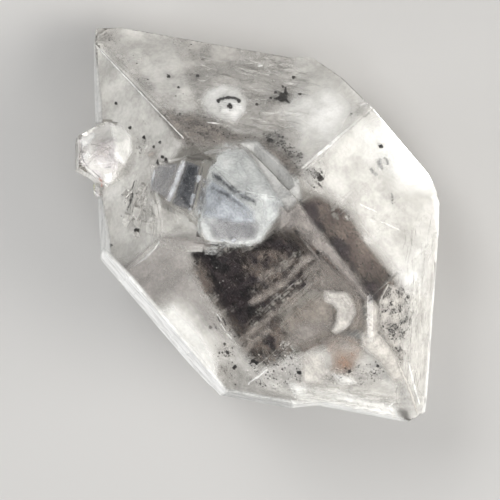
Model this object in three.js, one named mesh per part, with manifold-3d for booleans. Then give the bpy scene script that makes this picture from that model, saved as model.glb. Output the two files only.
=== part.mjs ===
// Double terminated quartz crystal: one stout, slightly flattened crystal with a point at each end,
// a smaller crystal grown into its front ridge, and two tiny clear crystals on its low flank.
//
// It is built with its front ridge up: x runs along the c axis, from the low tip to the high tip,
// y across and z out of the front. It is then rolled on to its widest prism face, so that +Z is up,
// with the origin under the middle of its bounding box. All sizes are millimetres, all angles degrees.

import * as THREE from 'three';
import { mergeVertices } from 'three/addons/utils/BufferGeometryUtils.js';
import Module from 'manifold-3d';

const wasm = await Module();
wasm.setup();

// Angles of the quartz lattice.
const FACES_ROUND_AXIS = 6;
const FACE_STEP = 360 / FACES_ROUND_AXIS;
const PRISM_TILT = 90;
const PYRAMID_TILT = 51.79;
const STEEP_TILT = 78.9;

// The first prism face lies left of the front ridge, this far from straight up. The rest follow
// it round: right of the ridge, right flank, base, back and left flank.
const FIRST_FACE = -25.5;
const LEFT_FRONT = 0;
const RIGHT_FRONT = 1;
const RIGHT_FLANK = 2;
const BASE = 3;
const LEFT_FLANK = 5;

// Distance of the six prism faces from the low tip's axis, in turn from the first face.
const SIDES = [11.15, 12.2, 9.7, 3.3, 6.83, 9.7];

// Where each pyramid face crosses the axis of its own tip, in the same order.
const LOW_TIP = { end: -1, across: 0, out: 0, reach: [17.5, 16.35, 17.3, 17.5, 17.3, 17.25] };
const HIGH_TIP = { end: 1, across: -0.46, out: 7.06, reach: [16.4, 16.95, 17.25, 20.3, 19.87, 17.2] };

// The high tip's right face is a stack of fine steps that leans further back than a true pyramid face.
const STEPPED_TILT = 46.5;

// Growth units: slices of the same crystal that stand a little proud of the host and end in a riser.
const UNIT_INSET = 0.03;
const SHOULDER = { tip: LOW_TIP, index: RIGHT_FLANK, rise: 0.24, tilt: 141.4, end: [-6.7, 8.75, 3.3] };
const HEEL = { tip: HIGH_TIP, index: LEFT_FLANK, rise: 0.55, tilt: 35.2, end: [11, -6.3, 1.4] };

// Blunted tips and corners: each chip is a plane through a point, leaning by tilt towards azimuth.
// The first is the steep growth face above the shoulder.
const CHIPS = [
    { tilt: 180 - STEEP_TILT, azimuth: 94.5, point: [-5.6, 9.55, 2.6] },
    { tilt: 141, azimuth: 95, point: [-16.35, 0.5, 0] },
    { tilt: 139, azimuth: -85, point: [-16.5, -0.45, 0] },
    { tilt: 152, azimuth: 30, point: [-16.4, 0.2, 0.75] },
    { tilt: 160, azimuth: 175, point: [-16.75, 0, -0.3] },
    { tilt: 10, azimuth: -80, point: [16.5, -0.62, 6.5] },
    { tilt: 30, azimuth: 60, point: [16.3, 0.3, 7] },
    { tilt: 38, azimuth: -5, point: [14.85, -1.1, 8.15] },
    { tilt: 63, azimuth: 96, point: [6.1, 9.85, 7.2] },
    { tilt: 76, azimuth: 92, point: [5.2, 10.22, 7.4] },
    { tilt: 66, azimuth: -88, point: [6.75, -9.75, 1] },
    { tilt: 118, azimuth: -120, point: [-5.4, -9.25, -1.6] },
    { tilt: 84, azimuth: 128, point: [-2, 9.7, 1.5] },
];

// Ridges that grew blunt: how far back the narrow new face lies and the stretch of the axis it spans.
const BEVELS = [
    { between: 'sides', depth: 0.15, from: -0.7, to: 3.9 },
    { between: 'sides', depth: 0.06, from: 3.9, to: 9 },
    { between: 'side and tip', depth: 0.13, from: 8.2, to: 11.5 },
];

// The hollow round the smaller crystal: a shallow floor on each side of the ridge, and its walls.
const HOLLOW_FLOOR_TILT = 116.6;
const HOLLOW_START = -7.55;
const HOLLOW_DEPTHS = [7.2, 6.85];
const HOLLOW_END = -0.3;
const HOLLOW_LID = 16;
const HOLLOW_MIDDLE = [-4.5, -0.2];
const WALL_SPREAD = 18;
// Lines of the front view that the walls rise from, left of the ridge and right of it. Some lie on the
// low tip's face and the others on the prism face.
const HOLLOW_BRINK = [[-7.43, -3.11], [-5.29, 1.04]];
const HOLLOW_WALLS = [
    {
        onTip: [HOLLOW_BRINK, [[-7.4, -3.3], [-3.3, -5.75]], [[-7, 1.4], [-3, 1.4]]],
        onSide: [[[-3.3, -5.75], [-1.2, -3.9]]],
    },
    {
        onTip: [
            HOLLOW_BRINK,
            [[-5.3, 1.7], [-4.1, 2.9]],
            [[-4.1, 2.9], [-1, 3.3]],
            [[-7, -1.7], [-3, -1.7]],
        ],
        onSide: [],
    },
];

// The smaller crystal: where its pyramid faces pass, how far out its prism faces lie, its rim, and
// the lines of the front view where it breaks off towards the low tip.
const INNER_TILT = 180 - PYRAMID_TILT;
const INNER_TIP = [[-4.42, -0.6, 10.9], [-4.95, -0.6, 10.9], [-5.2, 2.1, 9]];
const INNER_SIDES = [[LEFT_FRONT, 11.6], [RIGHT_FRONT, 12.62], [RIGHT_FLANK, 1.55], [LEFT_FLANK, 4.6]];
const INNER_RIM = { tilt: 62, azimuth: 4.5, point: [0.75, 0.6, 13.4] };
const INNER_CORNER = { tilt: 48, azimuth: -85.5, point: [0.73, -1.85, 12] };
const INNER_BREAKS = [
    { index: LEFT_FRONT, line: [[-4.53, -1.03], [-3.15, -2.63]] },
    { index: RIGHT_FRONT, line: [[-4.86, -0.19], [-5.22, 1.33]] },
    { index: RIGHT_FRONT, line: [[-5.22, 1.33], [-4.54, 2.23]] },
];
const INNER_MIDDLE = [-2, 0];
const BREAK_SPREAD = -22;
const INNER_ROOT = 6;
const INNER_END = 1.3;

// Terraces and ribs left of the smaller crystal: the two ends of each side in the front view, and how
// far under the low tip's left face the top lies.
const TERRACES = [
    { from: [[-7.04, -3.22], [-6.38, -4.22]], to: [[-6.41, -1.45], [-5.07, -4.03]], drop: 0.2 },
    { from: [[-7.04, -3.22], [-6.38, -4.22]], to: [[-3.6, -0.8], [-2, -2.6]], drop: 0.7 },
    { from: [[-4.98, -1.29], [-3.55, -3.44]], to: [[-4.87, -1.18], [-3.4, -3.28]], drop: 0.22 },
    { from: [[-4.98, -1.29], [-3.55, -3.44]], to: [[-3.6, -0.8], [-2, -2.6]], drop: 0.5 },
];
const TERRACE_FOOT = [[-6.38, -4.43], [-3.56, -3.45]];
const TERRACE_HEAD = [[-9, -0.6], [0, -0.6]];
const TERRACE_THICK = 1.6;

// Fine relief: ledges across the prism faces, thin steps along pyramid edges, pits and low hillocks.
// A ledge's place on its face is measured along the c axis and along the face's own level axis.
const LEDGES = [
    { index: LEFT_FRONT, along: 3.3, level: -2.88, half: 3.6, width: 0.3, rise: 0.07 },
    { index: LEFT_FRONT, along: 4.7, level: -2.44, half: 3.2, width: 0.24, rise: 0.08 },
    { index: LEFT_FRONT, along: 5.45, level: -3.99, half: 2.2, width: 0.16, rise: 0.06 },
    { index: LEFT_FRONT, along: 1.9, level: -0.44, half: 2.1, width: 0.2, rise: 0.05 },
    { index: LEFT_FRONT, along: 7.3, level: 0.44, half: 2.6, width: 0.26, rise: 0.06 },
    { index: LEFT_FRONT, along: -1.9, level: 2.66, half: 1.2, width: 0.2, rise: 0.05 },
];
const LEDGES_A_SIDE = 7;
const LEDGE = { half: [1.1, 2.8], width: [0.06, 0.2], rise: [0.02, 0.05] };
const LEDGE_SLOPE = 0.13;
const LEDGE_ROOT = 0.1;
const GROOVES_ALONG = [-9.6, -6.1, -3.7, 0.6, 3.9];
const GROOVE = { index: BASE, level: 1.2, half: 3, width: 0.3, rise: 0.1 };
const STEP_COUNT = 3;
const STEP_RISE = 0.08;
const STEP_RUN = 0.32;
const STEPPED_EDGES = [
    [HIGH_TIP, LEFT_FRONT, LEFT_FLANK],
    [HIGH_TIP, RIGHT_FRONT, RIGHT_FLANK],
];
const PITS_A_FACE = 4;
const PIT = { least: 0.14, most: 0.42, depth: 0.14 };
const HILLOCKS_A_FACE = 2;
const HILLOCK = { least: 0.5, most: 1.1, rise: 0.06, top: 0.7 };
const EDGE_MARGIN = 0.35;
const RELIEF_SEED = 20411;

// Clefts in the low tip's left face, beside the hollow: place in the front view, half length, turn.
const CLEFTS = [
    { along: -6.4, across: -4.9, half: 0.75, turn: 24 },
    { along: -5.7, across: -5.6, half: 0.95, turn: 38 },
    { along: -6.9, across: -5.7, half: 0.55, turn: 12 },
    { along: -4.9, across: -6.4, half: 0.8, turn: 55 },
    { along: -5.6, across: -6.7, half: 0.5, turn: 30 },
    { along: -4.2, across: -5.9, half: 0.5, turn: 62 },
];
const CLEFT_WIDTH = 0.1;
const CLEFT_DEPTH = 0.3;

// Two tiny crystals on the low flank: their middle, the way their axis and first prism face point,
// the distance of their prism faces, the reach of their pyramid faces and the blunt cap on the axis.
const SATELLITES = [
    {
        middle: [-9.92, -5.06, 4.3],
        axis: [-0.02, 0.258, 0.966],
        side: [0.647, 0.762, 0],
        sides: [1.92, 1.9, 1.86, 1.93, 1.95, 1.88],
        reach: [3.05, 3.25, 2.95, 3.15, 2.9, 3.2],
        cap: 2.7,
    },
    {
        middle: [-8.5, -6.75, 1.7],
        axis: [0.5, -0.35, 0.8],
        side: [0.6, 0.7, 0.1],
        sides: [0.5, 0.46, 0.52, 0.48, 0.5, 0.47],
        reach: [1.05, 1.15, 1, 1.1, 1.05, 0.95],
        cap: 0.95,
    },
];

const FAR_AWAY = 40;
const AXES = [[1, 0, 0], [-1, 0, 0], [0, 1, 0], [0, -1, 0], [0, 0, 1], [0, 0, -1]];

const radians = THREE.MathUtils.degToRad;

function vector(values) {
    return new THREE.Vector3(...values);
}

// A face is the outside of a plane: its normal leans by tilt from the c axis and points to azimuth.
function facing(tilt, azimuth) {
    const ring = Math.sin(radians(tilt));
    return new THREE.Vector3(
        Math.cos(radians(tilt)),
        ring * Math.sin(radians(azimuth)),
        ring * Math.cos(radians(azimuth)),
    );
}

function face(tilt, azimuth, point) {
    const normal = facing(tilt, azimuth);
    return { normal, offset: normal.dot(vector(point)) };
}

function squareFace(direction, offset) {
    return { normal: vector(direction), offset };
}

function moved({ normal, offset }, distance) {
    return { normal, offset: offset + distance };
}

function flipped({ normal, offset }) {
    return { normal: normal.clone().negate(), offset: -offset };
}

function azimuthOf(index) {
    return FIRST_FACE + index * FACE_STEP;
}

function prismFace(index, distance = SIDES[index]) {
    return { normal: facing(PRISM_TILT, azimuthOf(index)), offset: distance };
}

function pyramidFace(tip, index) {
    const stepped = tip === HIGH_TIP && index === RIGHT_FLANK;
    const tilt = stepped ? STEPPED_TILT : PYRAMID_TILT;
    const lean = tip.end > 0 ? tilt : 180 - tilt;
    return face(lean, azimuthOf(index), [tip.end * tip.reach[index], tip.across, tip.out]);
}

// The point of a face that is seen at the given place of the front view.
function onFace({ normal, offset }, [along, across]) {
    return new THREE.Vector3(along, across, (offset - normal.x * along - normal.y * across) / normal.z);
}

// A wall through a line of the front view drawn on a host face. It faces away from inside, and leans
// by spread from square to the host.
function wall(host, [from, to], inside, spread) {
    const foot = onFace(host, from);
    const run = onFace(host, to).sub(foot);
    const normal = run.cross(host.normal).normalize();
    if (normal.dot(onFace(host, inside).sub(foot)) > 0) {
        normal.negate();
    }
    normal.multiplyScalar(Math.cos(radians(spread)));
    normal.addScaledVector(host.normal, -Math.sin(radians(spread)));
    return { normal, offset: normal.dot(foot) };
}

function meeting(a, b, c) {
    const turn = new THREE.Vector3().crossVectors(b.normal, c.normal);
    const volume = a.normal.dot(turn);
    if (Math.abs(volume) < 1e-7) {
        return null;
    }
    return turn.multiplyScalar(a.offset)
        .addScaledVector(new THREE.Vector3().crossVectors(c.normal, a.normal), b.offset)
        .addScaledVector(new THREE.Vector3().crossVectors(a.normal, b.normal), c.offset)
        .divideScalar(volume);
}

// Corners where three faces meet inside all the others.
function cornersOf(faces) {
    const corners = [];
    const inside = (point) => faces.every(({ normal, offset }) => normal.dot(point) <= offset + 1e-6);
    for (let i = 0; i < faces.length; i += 1) {
        for (let j = i + 1; j < faces.length; j += 1) {
            for (let k = j + 1; k < faces.length; k += 1) {
                const point = meeting(faces[i], faces[j], faces[k]);
                if (point && inside(point) && !corners.some((other) => other.distanceTo(point) < 1e-5)) {
                    corners.push(point);
                }
            }
        }
    }
    return corners;
}

function solidFrom(points, triangles) {
    const vertProperties = new Float32Array(points.flatMap((point) => point.toArray()));
    const triVerts = new Uint32Array(triangles);
    return new wasm.Manifold(new wasm.Mesh({ numProp: 3, vertProperties, triVerts }));
}

// The convex crystal form inside a set of faces, each face a fan of triangles round its outline.
function formFrom(faces, placement = new THREE.Matrix4()) {
    const corners = cornersOf(faces);
    const triangles = [];
    for (const { normal, offset } of faces) {
        const outline = corners
            .map((point, index) => ({ point, index }))
            .filter(({ point }) => Math.abs(normal.dot(point) - offset) < 1e-5);
        if (outline.length < 3) {
            continue;
        }
        const middle = new THREE.Vector3();
        outline.forEach(({ point }) => middle.addScaledVector(point, 1 / outline.length));
        const east = new THREE.Vector3().subVectors(outline[0].point, middle).normalize();
        const north = new THREE.Vector3().crossVectors(normal, east);
        const bearing = ({ point }) => {
            const arm = new THREE.Vector3().subVectors(point, middle);
            return Math.atan2(arm.dot(north), arm.dot(east));
        };
        outline.sort((a, b) => bearing(a) - bearing(b));
        for (let i = 1; i + 1 < outline.length; i += 1) {
            triangles.push(outline[0].index, outline[i].index, outline[i + 1].index);
        }
    }
    return solidFrom(corners.map((point) => point.applyMatrix4(placement)), triangles);
}

// Everything outside all of the given faces at once, out to well past the crystal.
function beyond(...faces) {
    return formFrom([...faces.map(flipped), ...AXES.map((direction) => squareFace(direction, FAR_AWAY))]);
}

// A closed block between two rings of the same number of points, both turning left seen from above.
function blockBetween(lower, upper) {
    const count = lower.length;
    const triangles = [];
    for (let i = 0; i < count; i += 1) {
        const next = (i + 1) % count;
        triangles.push(i, next, count + next, i, count + next, count + i);
        if (i > 1) {
            triangles.push(0, i, i - 1, count, count + i - 1, count + i);
        }
    }
    return solidFrom([...lower, ...upper], triangles);
}

// Axes on a face: level runs across it, square to the c axis, and climb runs up it towards the high tip.
function axesOn({ normal }) {
    const level = new THREE.Vector3().crossVectors(new THREE.Vector3(1, 0, 0), normal).normalize();
    const climb = new THREE.Vector3().crossVectors(normal, level).normalize();
    return { level, climb };
}

// A ring of points round a middle, at a height over the face, turned on it by an angle.
function ringOn(each, middle, offsets, height, turn = 0) {
    const { level, climb } = axesOn(each);
    const cos = Math.cos(radians(turn));
    const sin = Math.sin(radians(turn));
    return offsets.map(([across, up]) => middle.clone()
        .addScaledVector(level, across * cos - up * sin)
        .addScaledVector(climb, across * sin + up * cos)
        .addScaledVector(each.normal, height));
}

function oblong(half, width) {
    return [[half, width], [-half, width], [-half, -width], [half, -width]];
}

// A long outline with a point at each end.
function spindle(half, width) {
    const neck = half * 0.82;
    return [[half, 0], [neck, width], [-neck, width], [-half, 0], [-neck, -width], [neck, -width]];
}

function triangle(radius) {
    return [90, 210, 330]
        .map(radians)
        .map((angle) => [radius * Math.cos(angle), radius * Math.sin(angle)]);
}

// Steady pseudo-random numbers, so that every build is the same.
function scatterFrom(seed) {
    let state = seed;
    return (low, high) => {
        state = (state * 1664525 + 1013904223) % 4294967296;
        return low + (high - low) * state / 4294967296;
    };
}

function hostFaces() {
    const faces = SIDES.map((_, index) => prismFace(index));
    for (let index = 0; index < FACES_ROUND_AXIS; index += 1) {
        faces.push(pyramidFace(LOW_TIP, index));
        faces.push(pyramidFace(HIGH_TIP, index));
    }
    return faces;
}

// A slice of the host with one pyramid face grown higher. Its other faces stand back a little, so
// that it only shows where it is proud.
function growthUnit({ tip, index, rise, tilt, end }) {
    const grown = pyramidFace(tip, index);
    const others = hostFaces().filter(({ normal }) => normal.distanceTo(grown.normal) > 1e-6);
    const riser = face(tilt, azimuthOf(index), end);
    return formFrom([...others.map((each) => moved(each, -UNIT_INSET)), moved(grown, rise), riser]);
}

// Narrow faces along the front ridge and its first branch towards the high tip.
function bevelCuts() {
    return BEVELS.map(({ between, depth, from, to }) => {
        const second = between === 'sides' ? prismFace(RIGHT_FRONT) : pyramidFace(HIGH_TIP, RIGHT_FRONT);
        const first = prismFace(LEFT_FRONT);
        const sum = new THREE.Vector3().addVectors(first.normal, second.normal);
        const offset = (first.offset + second.offset) / sum.length() - depth;
        const bevel = { normal: sum.clone().normalize(), offset };
        return beyond(bevel, squareFace([1, 0, 0], from), squareFace([-1, 0, 0], -to));
    });
}

// The shallow hollow in the front ridge, one half on each side of the ridge.
function hollowHalves() {
    return HOLLOW_WALLS.map(({ onTip, onSide }, index) => {
        const azimuth = azimuthOf(index);
        const start = facing(PRISM_TILT, azimuth).multiplyScalar(HOLLOW_DEPTHS[index]).setX(HOLLOW_START);
        const floor = face(HOLLOW_FLOOR_TILT, azimuth, start.toArray());
        return formFrom([
            flipped(floor),
            ...onTip.map((line) => wall(pyramidFace(LOW_TIP, index), line, HOLLOW_MIDDLE, WALL_SPREAD)),
            ...onSide.map((line) => wall(prismFace(index), line, HOLLOW_MIDDLE, WALL_SPREAD)),
            squareFace([0, 0, 1], HOLLOW_LID),
            squareFace([1, 0, 0], HOLLOW_END),
            squareFace([-1, 0, 0], 1 - HOLLOW_START),
        ]);
    });
}

// The smaller crystal, parallel to the host, that fills most of the hollow.
function innerCrystal() {
    const tips = INNER_TIP.map((point, index) => face(INNER_TILT, azimuthOf(index), point));
    return formFrom([
        ...tips,
        ...INNER_BREAKS.map(({ index, line }) => wall(tips[index], line, INNER_MIDDLE, BREAK_SPREAD)),
        ...INNER_SIDES.map(([index, distance]) => prismFace(index, distance)),
        ...[INNER_RIM, INNER_CORNER].map(({ tilt, azimuth, point }) => face(tilt, azimuth, point)),
        squareFace([0, 0, -1], -INNER_ROOT),
        squareFace([1, 0, 0], INNER_END),
    ]);
}

// Each terrace is a block between two lines, with sides that spread downwards.
function terraceBlocks() {
    return TERRACES.map(({ from, to, drop }) => {
        const top = moved(pyramidFace(LOW_TIP, LEFT_FRONT), -drop);
        return formFrom([
            top,
            moved(prismFace(LEFT_FRONT), -drop),
            wall(top, from, INNER_MIDDLE, BREAK_SPREAD),
            wall(top, to, from[0], BREAK_SPREAD),
            wall(top, TERRACE_FOOT, INNER_MIDDLE, BREAK_SPREAD),
            wall(top, TERRACE_HEAD, from[0], BREAK_SPREAD),
            moved(flipped(top), TERRACE_THICK),
        ]);
    });
}

// A low bar with pointed ends across a face. It stands on the face, or is a groove's cutter when sunk.
function barOn(each, middle, { half, width, rise }, sunk = false) {
    const narrow = spindle(half - LEDGE_SLOPE, width / 2);
    const wide = spindle(half, width / 2 + LEDGE_SLOPE);
    const lower = ringOn(each, middle, sunk ? narrow : wide, sunk ? -rise : -LEDGE_ROOT);
    const upper = ringOn(each, middle, sunk ? wide : narrow, sunk ? LEDGE_ROOT : rise);
    return blockBetween(lower, upper);
}

function ledgeOn({ index, along, level, ...size }, sunk = false) {
    const each = prismFace(index);
    const middle = each.normal.clone().multiplyScalar(each.offset);
    middle.addScaledVector(axesOn(each).level, level).setX(along);
    return barOn(each, middle, size, sunk);
}

// Thin stairs that run along the edge between two pyramid faces.
function edgeSteps([tip, first, second]) {
    const cuts = [];
    for (let step = 1; step <= STEP_COUNT; step += 1) {
        const tread = moved(pyramidFace(tip, first), -step * STEP_RISE);
        const riser = moved(pyramidFace(tip, second), -(STEP_COUNT - step + 1) * STEP_RUN);
        cuts.push(beyond(tread, riser));
    }
    return cuts;
}

// A random spot on a face of the host, at least margin inside all its edges, with room on both sides
// for something that reaches half its length along the level axis.
function spotOn(each, faces, margin, random, half = 0) {
    const { level, climb } = axesOn(each);
    const ends = [level.clone().multiplyScalar(half), level.clone().multiplyScalar(-half)];
    for (let tries = 0; tries < 400; tries += 1) {
        const spot = each.normal.clone().multiplyScalar(each.offset)
            .addScaledVector(level, random(-FAR_AWAY / 2, FAR_AWAY / 2))
            .addScaledVector(climb, random(-FAR_AWAY / 2, FAR_AWAY / 2));
        const room = ({ normal, offset }) => offset - margin - normal.dot(spot);
        const fits = (other) => ends.every((end) => other.normal.dot(end) < room(other));
        if (faces.every((other) => other === each || fits(other))) {
            return spot;
        }
    }
    return null;
}

function underUnit(each) {
    const units = [SHOULDER, HEEL].map(({ tip, index }) => pyramidFace(tip, index));
    return units.some(({ normal }) => normal.distanceTo(each.normal) < 1e-6);
}

// Triangular etch pits and low growth hillocks, scattered over the faces that no growth unit covers.
function surfaceRelief() {
    const random = scatterFrom(RELIEF_SEED);
    const faces = hostFaces();
    const relief = { pits: [], hillocks: [], ledges: [] };
    for (const each of faces.slice(0, FACES_ROUND_AXIS)) {
        for (let i = 0; i < LEDGES_A_SIDE && each !== faces[BASE]; i += 1) {
            const [half, width, rise] = [LEDGE.half, LEDGE.width, LEDGE.rise].map((range) => random(...range));
            const size = { half, width, rise };
            const spot = spotOn(each, faces, EDGE_MARGIN, random, size.half);
            if (spot) {
                relief.ledges.push(barOn(each, spot, size));
            }
        }
    }
    for (const each of faces.filter((one) => !underUnit(one))) {
        for (let i = 0; i < PITS_A_FACE; i += 1) {
            const radius = random(PIT.least, PIT.most);
            const spot = spotOn(each, faces, radius + EDGE_MARGIN, random);
            if (spot) {
                const floor = ringOn(each, spot, triangle(radius / 3), -PIT.depth * random(0.5, 1));
                relief.pits.push(blockBetween(floor, ringOn(each, spot, triangle(radius), LEDGE_ROOT)));
            }
        }
        const resting = each === faces[BASE];
        for (let i = 0; i < HILLOCKS_A_FACE && !resting; i += 1) {
            const radius = random(HILLOCK.least, HILLOCK.most);
            const spot = spotOn(each, faces, radius + EDGE_MARGIN, random);
            if (spot) {
                const root = ringOn(each, spot, triangle(radius), -LEDGE_ROOT);
                const top = ringOn(each, spot, triangle(radius * HILLOCK.top), HILLOCK.rise);
                relief.hillocks.push(blockBetween(root, top));
            }
        }
    }
    return relief;
}

function cleftCuts() {
    const each = pyramidFace(LOW_TIP, LEFT_FRONT);
    return CLEFTS.map(({ along, across, half, turn }) => {
        const middle = onFace(each, [along, across]);
        const floor = ringOn(each, middle, oblong(half * 0.7, CLEFT_WIDTH / 3), -CLEFT_DEPTH, turn);
        return blockBetween(floor, ringOn(each, middle, oblong(half, CLEFT_WIDTH), LEDGE_ROOT, turn));
    });
}

// A tiny crystal with points at both ends, in a lie of its own.
function satelliteCrystal({ middle, axis, side, sides, reach, cap }) {
    const along = vector(axis).normalize();
    const across = new THREE.Vector3().crossVectors(vector(side), along).normalize();
    const out = new THREE.Vector3().crossVectors(along, across);
    const placement = new THREE.Matrix4().makeBasis(along, across, out).setPosition(vector(middle));
    const faces = [squareFace([1, 0, 0], cap), squareFace([-1, 0, 0], cap)];
    sides.forEach((distance, index) => {
        const azimuth = index * FACE_STEP;
        faces.push({ normal: facing(PRISM_TILT, azimuth), offset: distance });
        faces.push(face(PYRAMID_TILT, azimuth, [reach[index], 0, 0]));
        faces.push(face(180 - PYRAMID_TILT, azimuth, [-reach[index], 0, 0]));
    });
    return formFrom(faces, placement);
}

function grownCrystal() {
    const { pits, hillocks, ledges } = surfaceRelief();
    const sunk = GROOVES_ALONG.map((along) => ledgeOn({ ...GROOVE, along }, true));
    const bars = [...LEDGES.map((ledge) => ledgeOn(ledge)), ...ledges];
    const grown = [growthUnit(SHOULDER), growthUnit(HEEL), ...bars, ...hillocks];
    const cut = [
        ...CHIPS.map(({ tilt, azimuth, point }) => beyond(face(tilt, azimuth, point))),
        ...STEPPED_EDGES.flatMap(edgeSteps),
        ...bevelCuts(),
        ...sunk,
        ...pits,
        ...hollowHalves(),
    ];
    let crystal = grown.reduce((solid, piece) => solid.add(piece), formFrom(hostFaces()));
    crystal = cut.reduce((solid, piece) => solid.subtract(piece), crystal);
    crystal = [...terraceBlocks(), innerCrystal()].reduce((solid, piece) => solid.add(piece), crystal);
    crystal = cleftCuts().reduce((solid, piece) => solid.subtract(piece), crystal);
    return SATELLITES.reduce((solid, satellite) => solid.add(satelliteCrystal(satellite)), crystal);
}

// The mesh of a solid, rolled on to its base face and centred over the origin.
function meshFrom(solid, name, material) {
    const { numProp, vertProperties, triVerts } = solid.getMesh();
    const positions = new Float32Array(vertProperties.length / numProp * 3);
    for (let i = 0; i * numProp < vertProperties.length; i += 1) {
        positions.set(vertProperties.subarray(i * numProp, i * numProp + 3), i * 3);
    }
    const raw = new THREE.BufferGeometry();
    raw.setAttribute('position', new THREE.BufferAttribute(positions, 3));
    raw.setIndex(new THREE.BufferAttribute(triVerts, 1));
    const geometry = mergeVertices(raw, 1e-4);
    geometry.rotateX(radians(FIRST_FACE));
    geometry.computeBoundingBox();
    const { min, max } = geometry.boundingBox;
    geometry.translate(-(min.x + max.x) / 2, -(min.y + max.y) / 2, -min.z);
    geometry.computeVertexNormals();
    const mesh = new THREE.Mesh(geometry, material);
    mesh.name = name;
    return mesh;
}

const clearQuartz = new THREE.MeshStandardMaterial({ color: 0xc9c7bf, roughness: 0.08, metalness: 0 });

const part = new THREE.Group();
part.add(meshFrom(grownCrystal(), 'quartz_crystal', clearQuartz));

export default part;
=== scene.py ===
"""Looks of a stout clear quartz crystal that is pointed at both ends.

The solid of the frame gives the outer shape. A finer shell of clear quartz stands
for it, and everything that a look into the crystal shows is built inside: the cloud
of carbon under the front ridge, black specks, milky veils, the bluish layers of the
smaller crystal, bright growth lines, healed cracks and a rusty stain.
"""

import logging
import math
import random
from dataclasses import dataclass
from enum import Enum

import bmesh
import bpy
from mathutils import Matrix, Vector, noise
from mathutils.bvhtree import BVHTree


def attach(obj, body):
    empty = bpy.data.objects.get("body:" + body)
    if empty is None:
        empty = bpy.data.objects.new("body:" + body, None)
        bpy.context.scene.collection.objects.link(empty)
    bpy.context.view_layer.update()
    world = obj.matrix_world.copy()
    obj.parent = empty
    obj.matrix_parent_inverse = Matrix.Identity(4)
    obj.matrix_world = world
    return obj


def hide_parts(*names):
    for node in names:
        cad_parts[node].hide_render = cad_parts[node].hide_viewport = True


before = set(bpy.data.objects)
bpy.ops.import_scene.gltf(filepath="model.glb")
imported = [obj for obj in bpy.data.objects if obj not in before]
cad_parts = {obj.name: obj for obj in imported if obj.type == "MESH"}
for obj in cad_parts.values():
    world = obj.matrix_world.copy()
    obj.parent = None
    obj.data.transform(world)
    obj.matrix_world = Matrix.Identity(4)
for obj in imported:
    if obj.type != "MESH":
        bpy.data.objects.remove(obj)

LOG = logging.getLogger("quartz_crystal")
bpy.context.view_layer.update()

MM = 0.001
MERGE_M = 1e-7
TO_MM = (1000.0, 1000.0, 1000.0)
QUARTZ_IOR = 1.544
BODY = "root"
CAD_NODE = "quartz_crystal"
BOUNCES = 16
SEE_THROUGH_BOUNCES = 40

Pixel = tuple[float, float]
Colour = tuple[float, float, float, float]


def rgb(red: float, green: float, blue: float) -> Colour:
    """Gives a colour with full alpha, as sockets take it."""
    return (red, green, blue, 1.0)


class Graph:
    """A node tree with short calls for adding and joining nodes."""

    def __init__(self, tree: bpy.types.NodeTree) -> None:
        """Wraps a tree and empties it.

        Args:
            tree: the node tree of a material, a world or a group.
        """
        self.tree = tree
        self.tree.nodes.clear()

    def add(self, kind: str, feeds: dict | None = None, **settings: object) -> bpy.types.Node:
        """Adds one node.

        Args:
            kind: the node's type name.
            feeds: a value or an output socket for each named or numbered input.
            settings: properties of the node itself.

        Returns:
            The new node.
        """
        node = self.tree.nodes.new(kind)
        for name, value in settings.items():
            setattr(node, name, value)
        for name, value in (feeds or {}).items():
            self.feed(node.inputs[name], value)
        return node

    def feed(self, socket: bpy.types.NodeSocket, value: object) -> None:
        """Joins an output socket to an input, or sets the input's own value.

        Args:
            socket: the input.
            value: an output socket or a plain value.
        """
        if isinstance(value, bpy.types.NodeSocket):
            self.tree.links.new(value, socket)
        else:
            socket.default_value = value

    def math(self, operation: str, first: object, second: object = 0.0) -> bpy.types.NodeSocket:
        """Adds a Math node and gives its output.

        Args:
            operation: the node's operation.
            first: value or socket of the first input.
            second: value or socket of the second input.

        Returns:
            The output socket.
        """
        return self.add("ShaderNodeMath", {0: first, 1: second}, operation=operation).outputs[0]

    def spread(self, value: object, low: float, high: float, to_low: float, to_high: float
               ) -> bpy.types.NodeSocket:
        """Maps a value smoothly from one range to another.

        Args:
            value: the socket that is mapped.
            low: start of the range that is read.
            high: end of the range that is read.
            to_low: what the start becomes.
            to_high: what the end becomes.

        Returns:
            The output socket.
        """
        feeds = {"Value": value, "From Min": low, "From Max": high, "To Min": to_low, "To Max": to_high}
        return self.add("ShaderNodeMapRange", feeds, interpolation_type="SMOOTHSTEP").outputs[0]


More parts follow.
